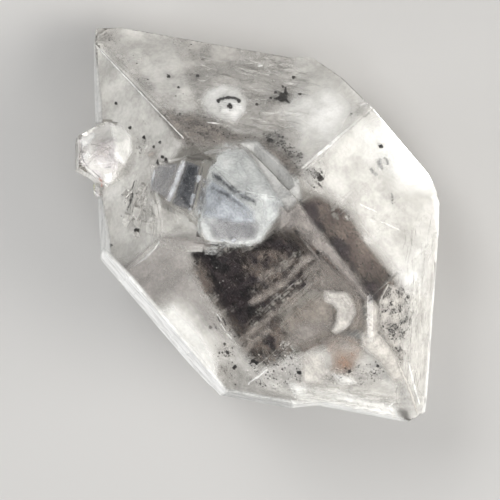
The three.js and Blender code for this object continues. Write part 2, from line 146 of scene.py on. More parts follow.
@dataclass(frozen=True)
class EffectGroup:
    """An effect that several materials place with their own values."""

    name: str
    inputs: tuple[tuple[str, float], ...]
    outputs: tuple[str, ...]

    def tree(self) -> bpy.types.NodeTree:
        """Gives the group's node tree, which is built at the first call."""
        made = bpy.data.node_groups.get(self.name)
        return made if made is not None else self.build()

    def build(self) -> bpy.types.NodeTree:
        """Makes the sockets and fills the group.

        Returns:
            The new node tree.
        """
        tree = bpy.data.node_groups.new(self.name, "ShaderNodeTree")
        for name, value in self.inputs:
            socket = tree.interface.new_socket(name, in_out="INPUT", socket_type="NodeSocketFloat")
            socket.default_value = value
        for name in self.outputs:
            tree.interface.new_socket(name, in_out="OUTPUT", socket_type="NodeSocketFloat")
        graph = Graph(tree)
        entry = graph.add("NodeGroupInput")
        leave = graph.add("NodeGroupOutput")
        for name, socket in self.fill(graph, entry).items():
            graph.feed(leave.inputs[name], socket)
        return tree

    def fill(self, graph: Graph, entry: bpy.types.Node) -> dict[str, bpy.types.NodeSocket]:
        """Builds what the group does; each kind of effect has its own.

        Args:
            graph: the group's tree.
            entry: the node that holds the group's inputs.

        Returns:
            The socket of each output by name.
        """
        raise NotImplementedError

    def place(self, graph: Graph, **values: object) -> bpy.types.Node:
        """Puts the group into a material.

        Args:
            graph: the material's tree.
            values: a value or socket for an input, its spaces written as underscores.

        Returns:
            The group node.
        """
        node = graph.add("ShaderNodeGroup", node_tree=self.tree())
        for name, value in values.items():
            graph.feed(node.inputs[name.replace("_", " ")], value)
        return node


class GrowthRelief(EffectGroup):
    """Growth lines across the prism faces, shallow waves and fine etching."""

    LINE_STRETCH = (1000.0, 60.0, 60.0)

    def fill(self, graph: Graph, entry: bpy.types.Node) -> dict[str, bpy.types.NodeSocket]:
        """Builds the relief and the patches where the gloss is lost.

        Args:
            graph: the group's tree.
            entry: the node that holds the group's inputs.

        Returns:
            Height and Dulled.
        """
        place = graph.add("ShaderNodeTexCoord").outputs["Object"]
        across = graph.add("ShaderNodeVectorMath", {0: place, 1: self.LINE_STRETCH},
                           operation="MULTIPLY").outputs[0]
        evenly = graph.add("ShaderNodeVectorMath", {0: place, 1: TO_MM},
                           operation="MULTIPLY").outputs[0]
        lines = graph.add("ShaderNodeTexNoise", {"Vector": across, "Scale": entry.outputs["Line Rate"],
                                                 "Detail": 3.0, "Roughness": 0.6})
        waves = graph.add("ShaderNodeTexNoise", {"Vector": evenly, "Scale": 0.45, "Detail": 2.0})
        etching = graph.add("ShaderNodeTexNoise", {"Vector": evenly, "Scale": entry.outputs["Etch Rate"],
                                                   "Detail": 4.0, "Roughness": 0.65})
        normal = graph.add("ShaderNodeNewGeometry").outputs["True Normal"]
        along = graph.add("ShaderNodeSeparateXYZ", {0: normal}).outputs["X"]
        on_prism = graph.spread(graph.math("ABSOLUTE", along), 0.1, 0.4, 1.0, 0.12)
        ruled = graph.math("MULTIPLY", graph.spread(lines.outputs[0], 0.35, 0.65, 0.0, 1.0), on_prism)
        ruled = graph.math("MULTIPLY", ruled, entry.outputs["Lines"])
        etched = graph.math("MULTIPLY", etching.outputs[0], entry.outputs["Etching"])
        height = graph.math("ADD", graph.math("ADD", ruled, etched), waves.outputs[0])
        dulled = graph.math("MULTIPLY", graph.spread(waves.outputs[0], 0.45, 0.65, 0.0, 1.0),
                            graph.spread(etching.outputs[0], 0.4, 0.62, 0.0, 1.0))
        return {"Height": height, "Dulled": dulled}


class CloudCover(EffectGroup):
    """Broken cover of a veil or a stain, which thins out to its border."""

    def fill(self, graph: Graph, entry: bpy.types.Node) -> dict[str, bpy.types.NodeSocket]:
        """Builds the cover from coarse patches and fine specks.

        Args:
            graph: the group's tree.
            entry: the node that holds the group's inputs.

        Returns:
            Cover and Patches.
        """
        place = graph.add("ShaderNodeTexCoord").outputs["Object"]
        in_mm = graph.add("ShaderNodeVectorMath", {0: place, 1: TO_MM},
                          operation="MULTIPLY").outputs[0]
        patches = graph.add("ShaderNodeTexNoise", {"Vector": in_mm, "Scale": entry.outputs["Patch Rate"],
                                                   "Detail": 4.0, "Roughness": 0.55})
        specks = graph.add("ShaderNodeTexNoise", {"Vector": in_mm, "Scale": entry.outputs["Speck Rate"],
                                                  "Detail": 3.0, "Roughness": 0.7})
        coarse = graph.spread(patches.outputs[0], 0.33, 0.67, 0.0, 1.0)
        fine = graph.spread(specks.outputs[0], 0.4, 0.62, 0.0, 1.0)
        fine = graph.math("MULTIPLY", fine, entry.outputs["Specks"])
        border = graph.add("ShaderNodeAttribute", attribute_name="fade").outputs["Fac"]
        whole = graph.math("ADD", graph.math("MULTIPLY", coarse, entry.outputs["Broken"]),
                           graph.math("SUBTRACT", 1.0, entry.outputs["Broken"]))
        whole = graph.math("MULTIPLY", graph.math("ADD", whole, fine), border)
        cover = graph.add("ShaderNodeMath", {0: whole, 1: entry.outputs["Thickness"]},
                          operation="MULTIPLY", use_clamp=True).outputs[0]
        return {"Cover": cover, "Patches": coarse}


GROWTH_RELIEF = GrowthRelief(
    "growth_relief", (("Line Rate", 2.2), ("Etch Rate", 3.0), ("Lines", 0.45), ("Etching", 0.16)),
    ("Height", "Dulled"))
CLOUD_COVER = CloudCover(
    "cloud_cover", (("Patch Rate", 0.7), ("Speck Rate", 6.0), ("Specks", 0.3), ("Broken", 0.8),
                    ("Thickness", 0.5)),
    ("Cover", "Patches"))


@dataclass(frozen=True)
class Finish:
    """One material of the crystal, of what lies in it or of the studio."""

    name: str

    def material(self) -> bpy.types.Material:
        """Gives the material, which is built at the first call."""
        made = bpy.data.materials.get(self.name)
        return made if made is not None else self.build()

    def build(self) -> bpy.types.Material:
        """Makes the material and fills its node tree.

        Returns:
            The new material.
        """
        material = bpy.data.materials.new(self.name)
        material.use_nodes = True
        self.fill(Graph(material.node_tree))
        return material

    def fill(self, graph: Graph) -> None:
        """Builds the nodes; each kind of finish has its own.

        Args:
            graph: the material's tree.
        """
        raise NotImplementedError


@dataclass(frozen=True)
class ClearQuartz(Finish):
    """Clear quartz with growth lines, dulled patches and bruised edges."""

    tint: Colour = rgb(0.97, 0.97, 0.96)
    depth_tint: Colour = rgb(0.80, 0.76, 0.68)
    density: float = 16.0
    shade: Colour = rgb(0.84, 0.83, 0.82)
    gloss: float = 0.012
    dulled: float = 0.05
    bruised: float = 0.42
    relief_mm: float = 0.026

    def fill(self, graph: Graph) -> None:
        """Builds clear quartz that lets the lamps through to what lies in it.

        Args:
            graph: the material's tree.
        """
        relief = GROWTH_RELIEF.place(graph)
        bruise = graph.add("ShaderNodeAttribute", attribute_name="bruise").outputs["Fac"]
        rough = graph.math("ADD", graph.math("MULTIPLY", relief.outputs["Dulled"], self.dulled), self.gloss)
        rough = graph.math("ADD", rough, graph.math("MULTIPLY", bruise, self.bruised))
        bump = graph.add("ShaderNodeBump", {"Height": relief.outputs["Height"], "Strength": 1.0,
                                            "Distance": self.relief_mm * MM})
        quartz = graph.add("ShaderNodeBsdfPrincipled", {
            "Base Color": self.tint, "Roughness": rough, "IOR": QUARTZ_IOR,
            "Transmission Weight": 1.0, "Normal": bump.outputs[0]})
        lit_through = graph.add("ShaderNodeBsdfTransparent", {"Color": self.shade})
        ray = graph.add("ShaderNodeLightPath").outputs["Is Shadow Ray"]
        surface = graph.add("ShaderNodeMixShader", {
            0: ray, 1: quartz.outputs[0], 2: lit_through.outputs[0]})
        inside = graph.add("ShaderNodeVolumeAbsorption", {
            "Color": self.depth_tint, "Density": self.density})
        graph.add("ShaderNodeOutputMaterial", {"Surface": surface.outputs[0], "Volume": inside.outputs[0]})


@dataclass(frozen=True)
class Fleck(Finish):
    """Solid flecks, whose colour wavers between two tones."""

    dark: Colour = rgb(0.003, 0.0025, 0.0025)
    light: Colour = rgb(0.020, 0.014, 0.012)
    rough: float = 0.55
    rough_spread: float = 0.2
    tone_rate: float = 0.9

    def fill(self, graph: Graph) -> None:
        """Builds the tones from small patches.

        Args:
            graph: the material's tree.
        """
        cover = CLOUD_COVER.place(graph, Patch_Rate=self.tone_rate)
        tone = graph.add("ShaderNodeMix", {0: cover.outputs["Patches"], 6: self.dark, 7: self.light},
                         data_type="RGBA").outputs[2]
        rough = graph.spread(cover.outputs["Patches"], 0.0, 1.0, self.rough,
                             self.rough + self.rough_spread)
        solid = graph.add("ShaderNodeBsdfPrincipled", {"Base Color": tone, "Roughness": rough})
        graph.add("ShaderNodeOutputMaterial", {"Surface": solid.outputs[0]})


@dataclass(frozen=True)
class Veil(Finish):
    """A thin broken layer inside the crystal, such as a milky or smoky veil."""

    colour: Colour = rgb(0.9, 0.9, 0.88)
    second: Colour = rgb(0.8, 0.8, 0.78)
    patch_rate: float = 0.7
    speck_rate: float = 6.0
    specks: float = 0.3
    broken: float = 0.8
    thickness: float = 0.5
    rough: float = 0.8

    def fill(self, graph: Graph) -> None:
        """Builds a layer that is see-through where its cover is thin.

        Args:
            graph: the material's tree.
        """
        cover = CLOUD_COVER.place(graph, Patch_Rate=self.patch_rate, Speck_Rate=self.speck_rate,
                                  Specks=self.specks, Broken=self.broken, Thickness=self.thickness)
        tone = graph.add("ShaderNodeMix", {0: cover.outputs["Patches"], 6: self.second, 7: self.colour},
                         data_type="RGBA").outputs[2]
        layer = graph.add("ShaderNodeBsdfPrincipled", {
            "Base Color": tone, "Roughness": self.rough, "Alpha": cover.outputs["Cover"]})
        graph.add("ShaderNodeOutputMaterial", {"Surface": layer.outputs[0]})


@dataclass(frozen=True)
class StudioPaper(Finish):
    """The plain pale floor that the crystal lies on."""

    colour: Colour = rgb(0.50, 0.49, 0.475)

    def fill(self, graph: Graph) -> None:
        """Builds a matt surface of one tone.

        Args:
            graph: the material's tree.
        """
        paper = graph.add("ShaderNodeBsdfPrincipled", {"Base Color": self.colour, "Roughness": 0.9})
        graph.add("ShaderNodeOutputMaterial", {"Surface": paper.outputs[0]})


class Finishes(Enum):
    """Every finish of the crystal and of what lies in it.

    A veil has two tones, then the rates of its patches and specks, how much its specks and its
    patches break it up, its thickness and, where it isn't the usual one, its roughness.
    """

    CLEAR = ClearQuartz("grown_quartz")
    CARBON = Fleck("carbon_fleck")
    GRAIN = Fleck("pale_grain", rgb(0.40, 0.38, 0.36), rgb(0.72, 0.70, 0.67))
    SMOKE = Veil("smoky_veil", rgb(0.008, 0.003, 0.005), rgb(0.045, 0.025, 0.028),
                 1.1, 6.0, 0.4, 0.8, 0.85)
    SMUDGE = Veil("dark_smudge", rgb(0.010, 0.005, 0.007), rgb(0.056, 0.034, 0.034),
                  1.3, 8.0, 0.35, 2.1, 0.9)
    MOTTLE = Veil("mottled_brown", rgb(0.17, 0.138, 0.12), rgb(0.30, 0.25, 0.212),
                  1.3, 7.0, 0.4, 1.3, 0.8)
    UMBER = Veil("umber_haze", rgb(0.10, 0.074, 0.066), rgb(0.24, 0.19, 0.16), 0.8, 6.0, 0.4, 0.4, 0.75)
    TAUPE = Veil("taupe_haze", rgb(0.20, 0.178, 0.163), rgb(0.30, 0.272, 0.25), 0.7, 6.0, 0.4, 0.5, 0.6)
    PANE = Veil("taupe_pane_and_hook_shade", rgb(0.36, 0.325, 0.29), rgb(0.24, 0.21, 0.185), 0.6, 5.0, 0.3, 0.4, 0.66)
    BAND = Veil("taupe_band", rgb(0.30, 0.268, 0.242), rgb(0.22, 0.195, 0.175),
                1.2, 7.0, 0.5, 0.75, 0.62)
    RIDGE = Veil("grey_ridge", rgb(0.31, 0.285, 0.268), rgb(0.22, 0.202, 0.19),
                 0.9, 6.0, 0.3, 0.4, 0.62)
    HOOK = Veil("pale_hook", rgb(0.60, 0.575, 0.545), rgb(0.48, 0.46, 0.435), 0.8, 6.0, 0.3, 0.3, 0.8)
    PALE = Veil("pale_bar", rgb(0.56, 0.54, 0.51), rgb(0.44, 0.42, 0.395), 1.2, 7.0, 0.35, 0.35, 0.85)
    MILK = Veil("milky_veil", rgb(0.80, 0.79, 0.765), rgb(0.67, 0.66, 0.635), 0.5, 4.0, 0.12, 0.4, 0.56)
    COOL_MILK = Veil("cool_milk", rgb(0.73, 0.745, 0.74), rgb(0.59, 0.61, 0.61),
                     0.8, 6.0, 0.3, 0.35, 0.6)
    GREY_MILK = Veil("grey_milk", rgb(0.64, 0.62, 0.595), rgb(0.46, 0.45, 0.43),
                     0.5, 4.0, 0.14, 0.5, 0.56)
    ROSE_MILK = Veil("rose_milk", rgb(0.86, 0.83, 0.84), rgb(0.72, 0.69, 0.70), 0.8, 6.0, 0.3, 0.5, 0.5)
    TAUPE_MILK = Veil("taupe_milk", rgb(0.52, 0.49, 0.47), rgb(0.42, 0.39, 0.38),
                      0.9, 6.0, 0.3, 0.5, 0.5)
    BLUE_MILK = Veil("bluish_layer", rgb(0.46, 0.485, 0.52), rgb(0.34, 0.36, 0.39),
                     0.9, 6.0, 0.4, 0.5, 0.6)
    WISP = Veil("faint_wisp", rgb(0.82, 0.81, 0.78), rgb(0.66, 0.65, 0.62), 0.35, 2.5, 0.5, 1.0, 0.3)
    # White veil colour, also used for painted highlights and glints.
    WHITE = Veil("white_veil", rgb(0.97, 0.97, 0.96), rgb(0.84, 0.84, 0.82),
                 0.35, 5.0, 0.15, 0.45, 0.66)
    FROST = Veil("frosted_side", rgb(0.94, 0.93, 0.905), rgb(0.82, 0.81, 0.78),
                 0.7, 6.0, 0.2, 0.3, 1.0, 0.7)
    # Bright line colour, used for growth lines and for painted edge highlights and glints.
    BRIGHT = Veil("bright_line", rgb(0.98, 0.98, 0.97), rgb(0.85, 0.86, 0.87), 1.6, 9.0, 0.4, 0.5, 0.8)
    # Painted highlight colour of the terrace risers and edges.
    STEP_HIGHLIGHT = Veil("painted_step_highlight", rgb(0.60, 0.62, 0.66), rgb(0.46, 0.48, 0.52), 1.4, 8.0, 0.3, 0.4, 0.8)
    GREY_HAZE = Veil("grey_haze", rgb(0.22, 0.22, 0.23), rgb(0.38, 0.38, 0.39),
                     1.3, 8.0, 0.5, 0.6, 0.55)
    SOFT_GREY = Veil("soft_grey_cloud", rgb(0.27, 0.255, 0.235), rgb(0.40, 0.38, 0.355),
                     0.9, 6.0, 0.4, 0.8, 0.40)
    SLATE = Veil("slate_streak", rgb(0.035, 0.04, 0.05), rgb(0.14, 0.15, 0.17), 2.0, 9.0, 0.5, 0.5, 0.6)
    INK = Veil("black_crust", rgb(0.006, 0.006, 0.007), rgb(0.02, 0.018, 0.018),
               3.0, 12.0, 0.6, 0.3, 1.2)
    RUST = Veil("rusty_stain", rgb(0.33, 0.225, 0.17), rgb(0.33, 0.27, 0.225), 1.1, 8.0, 0.4, 0.6, 0.5)
    SIDE_MILK = Veil("side_milk", rgb(0.60, 0.595, 0.575), rgb(0.50, 0.495, 0.48),
                     0.7, 5.0, 0.3, 0.3, 0.95)
    # Painted glint colour and painted shade colour of the ripples and fine lines.
    RIPPLE = Veil("pale_ripple", rgb(0.88, 0.87, 0.84), rgb(0.74, 0.73, 0.70), 1.2, 6.0, 0.3, 0.5, 0.4)
    DIM_RIPPLE = Veil("dim_ripple", rgb(0.16, 0.155, 0.14), rgb(0.28, 0.27, 0.25),
                      1.2, 6.0, 0.3, 0.5, 0.4)
    RED = Veil("red_trace", rgb(0.55, 0.17, 0.11), rgb(0.45, 0.24, 0.18), 2.0, 9.0, 0.4, 0.5, 0.7)
    LIME = Veil("lime_trace", rgb(0.66, 0.70, 0.30), rgb(0.62, 0.64, 0.42), 2.0, 9.0, 0.4, 0.4, 0.8)

    def material(self) -> bpy.types.Material:
        """Gives the material of this finish."""
        return self.value.material()


@dataclass(frozen=True)
class PhotoView:
    """The view of the photograph, and how a look through it bends into the quartz."""

    aim_mm: tuple[float, float, float] = (1.076, -0.804, 9.247)
    right: tuple[float, float, float] = (0.6470, 0.6878, -0.3280)
    up: tuple[float, float, float] = (-0.7624, 0.5840, -0.2785)
    distance_mm: float = 800.0
    width_mm: float = 33.0
    side_px: float = 500.0
    sensor_mm: float = 36.0
    clip_m: tuple[float, float] = (0.01, 20.0)

    @property
    def back(self) -> Vector:
        """The way from the crystal to the camera."""
        return Vector(self.right).cross(Vector(self.up)).normalized()

    @property
    def eye(self) -> Vector:
        """Where the camera stands, in metres."""
        return Vector(self.aim_mm) * MM + self.back * self.distance_mm * MM

    def look(self, pixel: Pixel) -> Vector:
        """Gives the way from the camera through a point of the picture.

        Args:
            pixel: the point, counted from the top left corner.

        Returns:
            A unit vector.
        """
        step = self.width_mm / self.side_px
        across = Vector(self.right) * (pixel[0] - self.side_px / 2) * step
        upward = Vector(self.up) * (self.side_px / 2 - pixel[1]) * step
        return (across + upward - self.back * self.distance_mm).normalized()

    def place_camera(self) -> None:
        """Adds the camera and makes it the scene's own."""
        data = bpy.data.cameras.new("photo_camera")
        data.sensor_width = self.sensor_mm
        data.lens = self.sensor_mm * self.distance_mm / self.width_mm
        data.clip_start, data.clip_end = self.clip_m
        camera = bpy.data.objects.new("photo_camera", data)
        axes = Matrix((Vector(self.right), Vector(self.up), self.back)).transposed()
        camera.matrix_world = Matrix.Translation(self.eye) @ axes.to_4x4()
        bpy.context.scene.collection.objects.link(camera)
        bpy.context.scene.camera = camera


VIEW = PhotoView()


class CrystalSpace:
    """The room inside the crystal, which tells where a look into it arrives."""

    def __init__(self, node: bpy.types.Object) -> None:
        """Reads the solid of the frame.

        Args:
            node: the frame's own solid.
        """
        solid = bmesh.new()
        solid.from_mesh(node.data)
        bmesh.ops.remove_doubles(solid, verts=solid.verts, dist=MERGE_M)
        self.tree = BVHTree.FromBMesh(solid)
        solid.free()

    def depth_of(self, point: Vector) -> float:
        """Gives how deep a point lies under the nearest face, below zero outside.

        Args:
            point: the point, in metres.

        Returns:
            The depth in millimetres.
        """
        nearest, normal, _, away = self.tree.find_nearest(point)
        sign = 1.0 if (nearest - point).dot(normal) > 0 else -1.0
        return sign * away / MM

    def seen_at(self, pixel: Pixel, depth_mm: float) -> Vector | None:
        """Follows a look through the picture into the quartz.

        Args:
            pixel: a point of the picture.
            depth_mm: how far the look goes on inside.

        Returns:
            The point that is reached, or None where the look misses the crystal.
        """
        way = VIEW.look(pixel)
        hit, normal, _, _ = self.tree.ray_cast(VIEW.eye, way)
        if hit is None:
            return None
        cosine = -way.dot(normal)
        ratio = 1.0 / QUARTZ_IOR
        inner = math.sqrt(max(0.0, 1.0 - ratio * ratio * (1.0 - cosine * cosine)))
        bent = way * ratio + normal * (ratio * cosine - inner)
        return hit + bent.normalized() * depth_mm * MM


def inside_polygon(pixel: Pixel, outline: tuple[Pixel, ...]) -> bool:
    """Tells whether a point of the picture lies in an outline.

    Args:
        pixel: the point.
        outline: the corners in order.

    Returns:
        True where the point lies inside.
    """
    found = False
    x, y = pixel
    for (ax, ay), (bx, by) in zip(outline, outline[1:] + outline[:1]):
        if (ay > y) != (by > y) and x < (bx - ax) * (y - ay) / (by - ay) + ax:
            found = not found
    return found


def border_distance(pixel: Pixel, outline: tuple[Pixel, ...]) -> float:
    """Gives how far a point of the picture is from an outline.

    Args:
        pixel: the point.
        outline: the corners in order.

    Returns:
        The distance in pixels.
    """
    point = Vector(pixel)
    best = 1e9
    for first, second in zip(outline, outline[1:] + outline[:1]):
        start, end = Vector(first), Vector(second)
        span = end - start
        share = max(0.0, min(1.0, (point - start).dot(span) / max(span.length_squared, 1e-9)))
        best = min(best, (start + span * share - point).length)
    return best


def new_piece(name: str, points: list[Vector], faces: list[tuple[int, ...]], finish: Finishes,
              fades: list[float] | None = None) -> bpy.types.Object:
    """Makes a piece of the crystal from mesh data.

    Args:
        name: the piece's name.
        points: the corners, in metres.
        faces: the corners of each face.
        finish: what the piece is made of.
        fades: cover at each corner, from 0 at a border to 1.

    Returns:
        The new object, which rides on the body.
    """
    mesh = bpy.data.meshes.new(name)
    mesh.from_pydata(points, [], faces)
    mesh.validate()
    if fades is not None:
        layer = mesh.attributes.new("fade", "FLOAT", "POINT")
        layer.data.foreach_set("value", fades)
    mesh.materials.append(finish.material())
    piece = bpy.data.objects.new(name, mesh)
    bpy.context.scene.collection.objects.link(piece)
    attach(piece, BODY)
    LOG.info("%s: %d faces", name, len(mesh.polygons))
    return piece


@dataclass
class CrystalShell:
    """The outer surface of the crystal with softened and bruised edges."""

    edge_mm: float = 0.05
    keep_edge_mm: float = 0.35
    sharp_deg: float = 14.0
    flat_deg: float = 0.6
    wear: float = 0.8
    bevel_steps: int = 2

    def build(self) -> bpy.types.Object:
        """Builds the shell, dresses it and lets it stand for the frame's solid.

        Returns:
            The shell.
        """
        solid = bmesh.new()
        solid.from_mesh(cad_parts[CAD_NODE].data)
        bmesh.ops.remove_doubles(solid, verts=solid.verts, dist=MERGE_M)
        bmesh.ops.dissolve_limit(solid, angle_limit=math.radians(self.flat_deg), verts=solid.verts,
                                 edges=solid.edges, delimit={"NORMAL"})
        edges = [e for e in solid.edges if self.is_worn(e)]
        strips = set(bmesh.ops.bevel(
            solid, geom=edges, offset=self.edge_mm * MM, offset_type="OFFSET",
            segments=self.bevel_steps, profile=0.5,
            affect="EDGES", clamp_overlap=True)["faces"])
        bmesh.ops.triangulate(solid, faces=[f for f in solid.faces if len(f.verts) > 4])
        mesh = bpy.data.meshes.new("crystal_shell")
        worn = [self.wear if face in strips else 0.0 for face in solid.faces]
        solid.to_mesh(mesh)
        solid.free()
        bruise = mesh.attributes.new("bruise", "FLOAT", "FACE")
        bruise.data.foreach_set("value", worn)
        mesh.materials.append(Finishes.CLEAR.material())
        shell = bpy.data.objects.new("crystal_shell", mesh)
        bpy.context.scene.collection.objects.link(shell)
        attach(shell, BODY)
        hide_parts(CAD_NODE)
        LOG.info("crystal_shell: %d faces, %d worn", len(mesh.polygons), len(strips))
        return shell

    def is_worn(self, edge: bmesh.types.BMEdge) -> bool:
        """Tells whether an edge is long and sharp enough to be softened."""
        if len(edge.link_faces) != 2 or edge.calc_length() < self.keep_edge_mm * MM:
            return False
        return math.degrees(edge.calc_face_angle(0.0)) > self.sharp_deg


@dataclass(frozen=True)
class Patch:
    """A part of the picture with the depths at which something lies under it."""

    outline: tuple[Pixel, ...]
    depths_mm: tuple[float, float]
    amount: int = 1
    feather_px: float = 6.0

    def bounds(self) -> tuple[float, float, float, float]:
        """Gives the lowest and highest x and y of the outline."""
        xs, ys = zip(*self.outline)
        return min(xs), min(ys), max(xs), max(ys)

    def middle(self) -> Pixel:
        """Gives the mean of the outline's corners."""
        xs, ys = zip(*self.outline)
        return sum(xs) / len(xs), sum(ys) / len(ys)

    def weight(self, pixel: Pixel) -> float:
        """Gives 0 outside, rising to 1 at the feather's width inside.

        Args:
            pixel: a point of the picture.

        Returns:
            The weight.
        """
        if not inside_polygon(pixel, self.outline):
            return 0.0
        return min(1.0, border_distance(pixel, self.outline) / max(self.feather_px, 0.01))


def same_patches(outlines: tuple[tuple[Pixel, ...], ...], depths_mm: tuple[float, float], amount: int,
                 feather_px: float) -> tuple[Patch, ...]:
    """Gives each outline the same depths, amount and feather.

    Args:
        outlines: the corners of each patch.
        depths_mm: lowest and highest depth.
        amount: layers or flakes in each patch.
        feather_px: width of the border over which each thins out.

    Returns:
        The patches.
    """
    return tuple(Patch(outline, depths_mm, amount, feather_px) for outline in outlines)


@dataclass
class FleckCloud:
    """Many small flakes in the patches of a cloud, thicker where its noise is high."""

    name: str
    patches: tuple[Patch, ...]
    finish: Finishes
    sizes_mm: tuple[float, float] = (0.03, 0.11)
    clumps_mm: float = 1.1
    clumping: float = 0.0
    clump_blur: float = 0.12
    least_depth_mm: float = 0.12
    tries_each: int = 12
    small_bias: float = 2.5
    four_cornered: float = 0.6
    corner_turn: float = 0.25
    reaches: tuple[float, float] = (0.6, 1.3)
    narrowing: float = 0.8
    warp: float = 0.2
    seed: int = 1

    def build(self, space: CrystalSpace) -> bpy.types.Object:
        """Builds the whole cloud as one piece.

        Args:
            space: the room inside the crystal.

        Returns:
            The piece.
        """
        chance = random.Random(self.seed)
        points: list[Vector] = []
        faces: list[tuple[int, ...]] = []
        for patch in self.patches:
            placed, tries = 0, 0
            while placed < patch.amount and tries < patch.amount * self.tries_each:
                tries += 1
                centre = self.pick(patch, space, chance)
                if centre is None:
                    continue
                self.add_flake(points, faces, centre, chance)
                placed += 1
        return new_piece(self.name, points, faces, self.finish)

    def pick(self, patch: Patch, space: CrystalSpace, chance: random.Random) -> Vector | None:
        """Picks a place for one flake.

        Args:
            patch: where to look.
            space: the room inside the crystal.
            chance: the seeded source of chance.

        Returns:
            The place, or None where this try fails.
        """
        x0, y0, x1, y1 = patch.bounds()
        pixel = (chance.uniform(x0, x1), chance.uniform(y0, y1))
        if chance.random() > patch.weight(pixel):
            return None
        place = space.seen_at(pixel, chance.uniform(*patch.depths_mm))
        if place is None or space.depth_of(place) < self.least_depth_mm:
            return None
        clump = noise.fractal(place / (self.clumps_mm * MM), 0.8, 2.0, 3)
        return place if clump > self.clumping + chance.gauss(0.0, self.clump_blur) else None

    def add_flake(self, points: list[Vector], faces: list[tuple[int, ...]], centre: Vector,
                  chance: random.Random) -> None:
        """Adds one thin flake with three or four uneven corners.

        Args:
            points: the corners so far.
            faces: the faces so far.
            centre: the flake's place.
            chance: the seeded source of chance.
        """
        low, high = self.sizes_mm
        size = (low + (high - low) * chance.random() ** self.small_bias) * MM
        turn = Matrix.Rotation(chance.uniform(0, math.tau), 3, Vector((
            chance.gauss(0, 1), chance.gauss(0, 1), chance.gauss(0, 1))).normalized())
        start = len(points)
        corners = 4 if chance.random() < self.four_cornered else 3
        for i in range(corners):
            angle = math.tau * (i + chance.uniform(-self.corner_turn, self.corner_turn)) / corners
            reach = size * chance.uniform(*self.reaches)
            points.append(centre + turn @ Vector((
                math.cos(angle) * reach, math.sin(angle) * reach * self.narrowing,
                chance.uniform(-self.warp, self.warp) * size)))
        faces.append(tuple(range(start, start + corners)))


@dataclass
class VeilSheets:
    """Waving sheets under patches of the picture, each thinning out to its border."""

    name: str
    patches: tuple[Patch, ...]
    finish: Finishes
    step_px: float = 2.5
    wave_mm: float = 0.35
    wave_length_mm: float = 2.2
    shallowest_mm: float = 0.06
    least_depth_mm: float = 0.05
    longest_mm: float = 0.9
    nudges: int = 3
    nudge_steps: float = 0.35

    def build(self, space: CrystalSpace) -> bpy.types.Object:
        """Builds all the sheets as one piece.

        Args:
            space: the room inside the crystal.

        Returns:
            The piece.
        """
        points: list[Vector] = []
        faces: list[tuple[int, ...]] = []
        fades: list[float] = []
        for patch in self.patches:
            for layer in range(patch.amount):
                share = (layer + 0.5) / patch.amount
                depth = patch.depths_mm[0] + (patch.depths_mm[1] - patch.depths_mm[0]) * share
                self.add_sheet(points, faces, fades, patch, depth, space)
        return new_piece(self.name, points, faces, self.finish, fades)

    def add_sheet(self, points: list[Vector], faces: list[tuple[int, ...]], fades: list[float],
                  patch: Patch, depth_mm: float, space: CrystalSpace) -> None:
        """Adds one sheet at a depth.

        Args:
            points: the corners so far.
            faces: the faces so far.
            fades: the cover at each corner so far.
            patch: where the sheet lies.
            depth_mm: its mean depth along the look.
            space: the room inside the crystal.
        """
        x0, y0, x1, y1 = patch.bounds()
        columns = int((x1 - x0) / self.step_px) + 2
        rows = int((y1 - y0) / self.step_px) + 2
        index: dict[tuple[int, int], int] = {}
        for i in range(columns):
            for j in range(rows):
                pixel = (x0 + (i - 0.5) * self.step_px, y0 + (j - 0.5) * self.step_px)
                place = self.place_near(pixel, self.inner_spot(patch), depth_mm, space)
                if place is None:
                    continue
                index[i, j] = len(points)
                points.append(place)
                fades.append(patch.weight(pixel))
        for (i, j) in list(index):
            corners = [(i, j), (i + 1, j), (i + 1, j + 1), (i, j + 1)]
            if not all(c in index for c in corners):
                continue
            ids = tuple(index[c] for c in corners)
            longest = max((points[ids[k]] - points[ids[k - 1]]).length for k in range(4))
            if longest < self.longest_mm * MM and any(fades[k] > 0 for k in ids):
                faces.append(ids)

    def inner_spot(self, patch: Patch) -> Pixel:
        """Gives the spot towards which a border place moves in until it meets the crystal."""
        return patch.middle()

    def place_near(self, pixel: Pixel, middle: Pixel, depth_mm: float, space: CrystalSpace
                   ) -> Vector | None:
        """Finds the sheet's place under a pixel, or a little nearer the patch's middle.

        Args:
            pixel: a point of the picture.
            middle: where the patch has its middle.
            depth_mm: the sheet's mean depth along the look.
            space: the room inside the crystal.

        Returns:
            The place, or None where the sheet ends.
        """
        inward = (Vector(middle) - Vector(pixel)).normalized() * self.step_px
        for nudge in range(self.nudges + 1):
            near = Vector(pixel) + inward * nudge * self.nudge_steps
            place = self.place_under((near.x, near.y), depth_mm, space)
            if place is not None:
                return place
        return None

    def place_under(self, pixel: Pixel, depth_mm: float, space: CrystalSpace) -> Vector | None:
        """Gives the sheet's waving place under a pixel.

        Args:
            pixel: a point of the picture.
            depth_mm: the sheet's mean depth along the look.
            space: the room inside the crystal.

        Returns:
            The place, or None where the look misses the crystal or the place lies too shallow.
        """
        place = space.seen_at(pixel, depth_mm)
        if place is not None and self.wave_mm > 0:
            wave = noise.noise(place / (self.wave_length_mm * MM)) * self.wave_mm
            place = space.seen_at(pixel, max(self.shallowest_mm, depth_mm + wave))
        if place is None or space.depth_of(place) < self.least_depth_mm:
            return None
        return place


@dataclass
class FaceSheets(VeilSheets):
    """Matt sheets that lie on the faces and reach their far edges."""

    step_px: float = 1.0
    wave_mm: float = 0.0
    least_depth_mm: float = -0.05
    longest_mm: float = 3.0
    nudges: int = 36
    nudge_steps: float = 0.07
    crystal_middle: Pixel = (262.0, 228.0)

    def inner_spot(self, patch: Patch) -> Pixel:
        """Gives the crystal's own middle, which lies square to its outline."""
        return self.crystal_middle


@dataclass(frozen=True)
class Stroke:
    """A line of the picture with its width and depth, such as a growth line or a crack."""

    path: tuple[Pixel, ...]
    width_px: float
    depth_mm: float = 0.3
    taper: float = 0.5


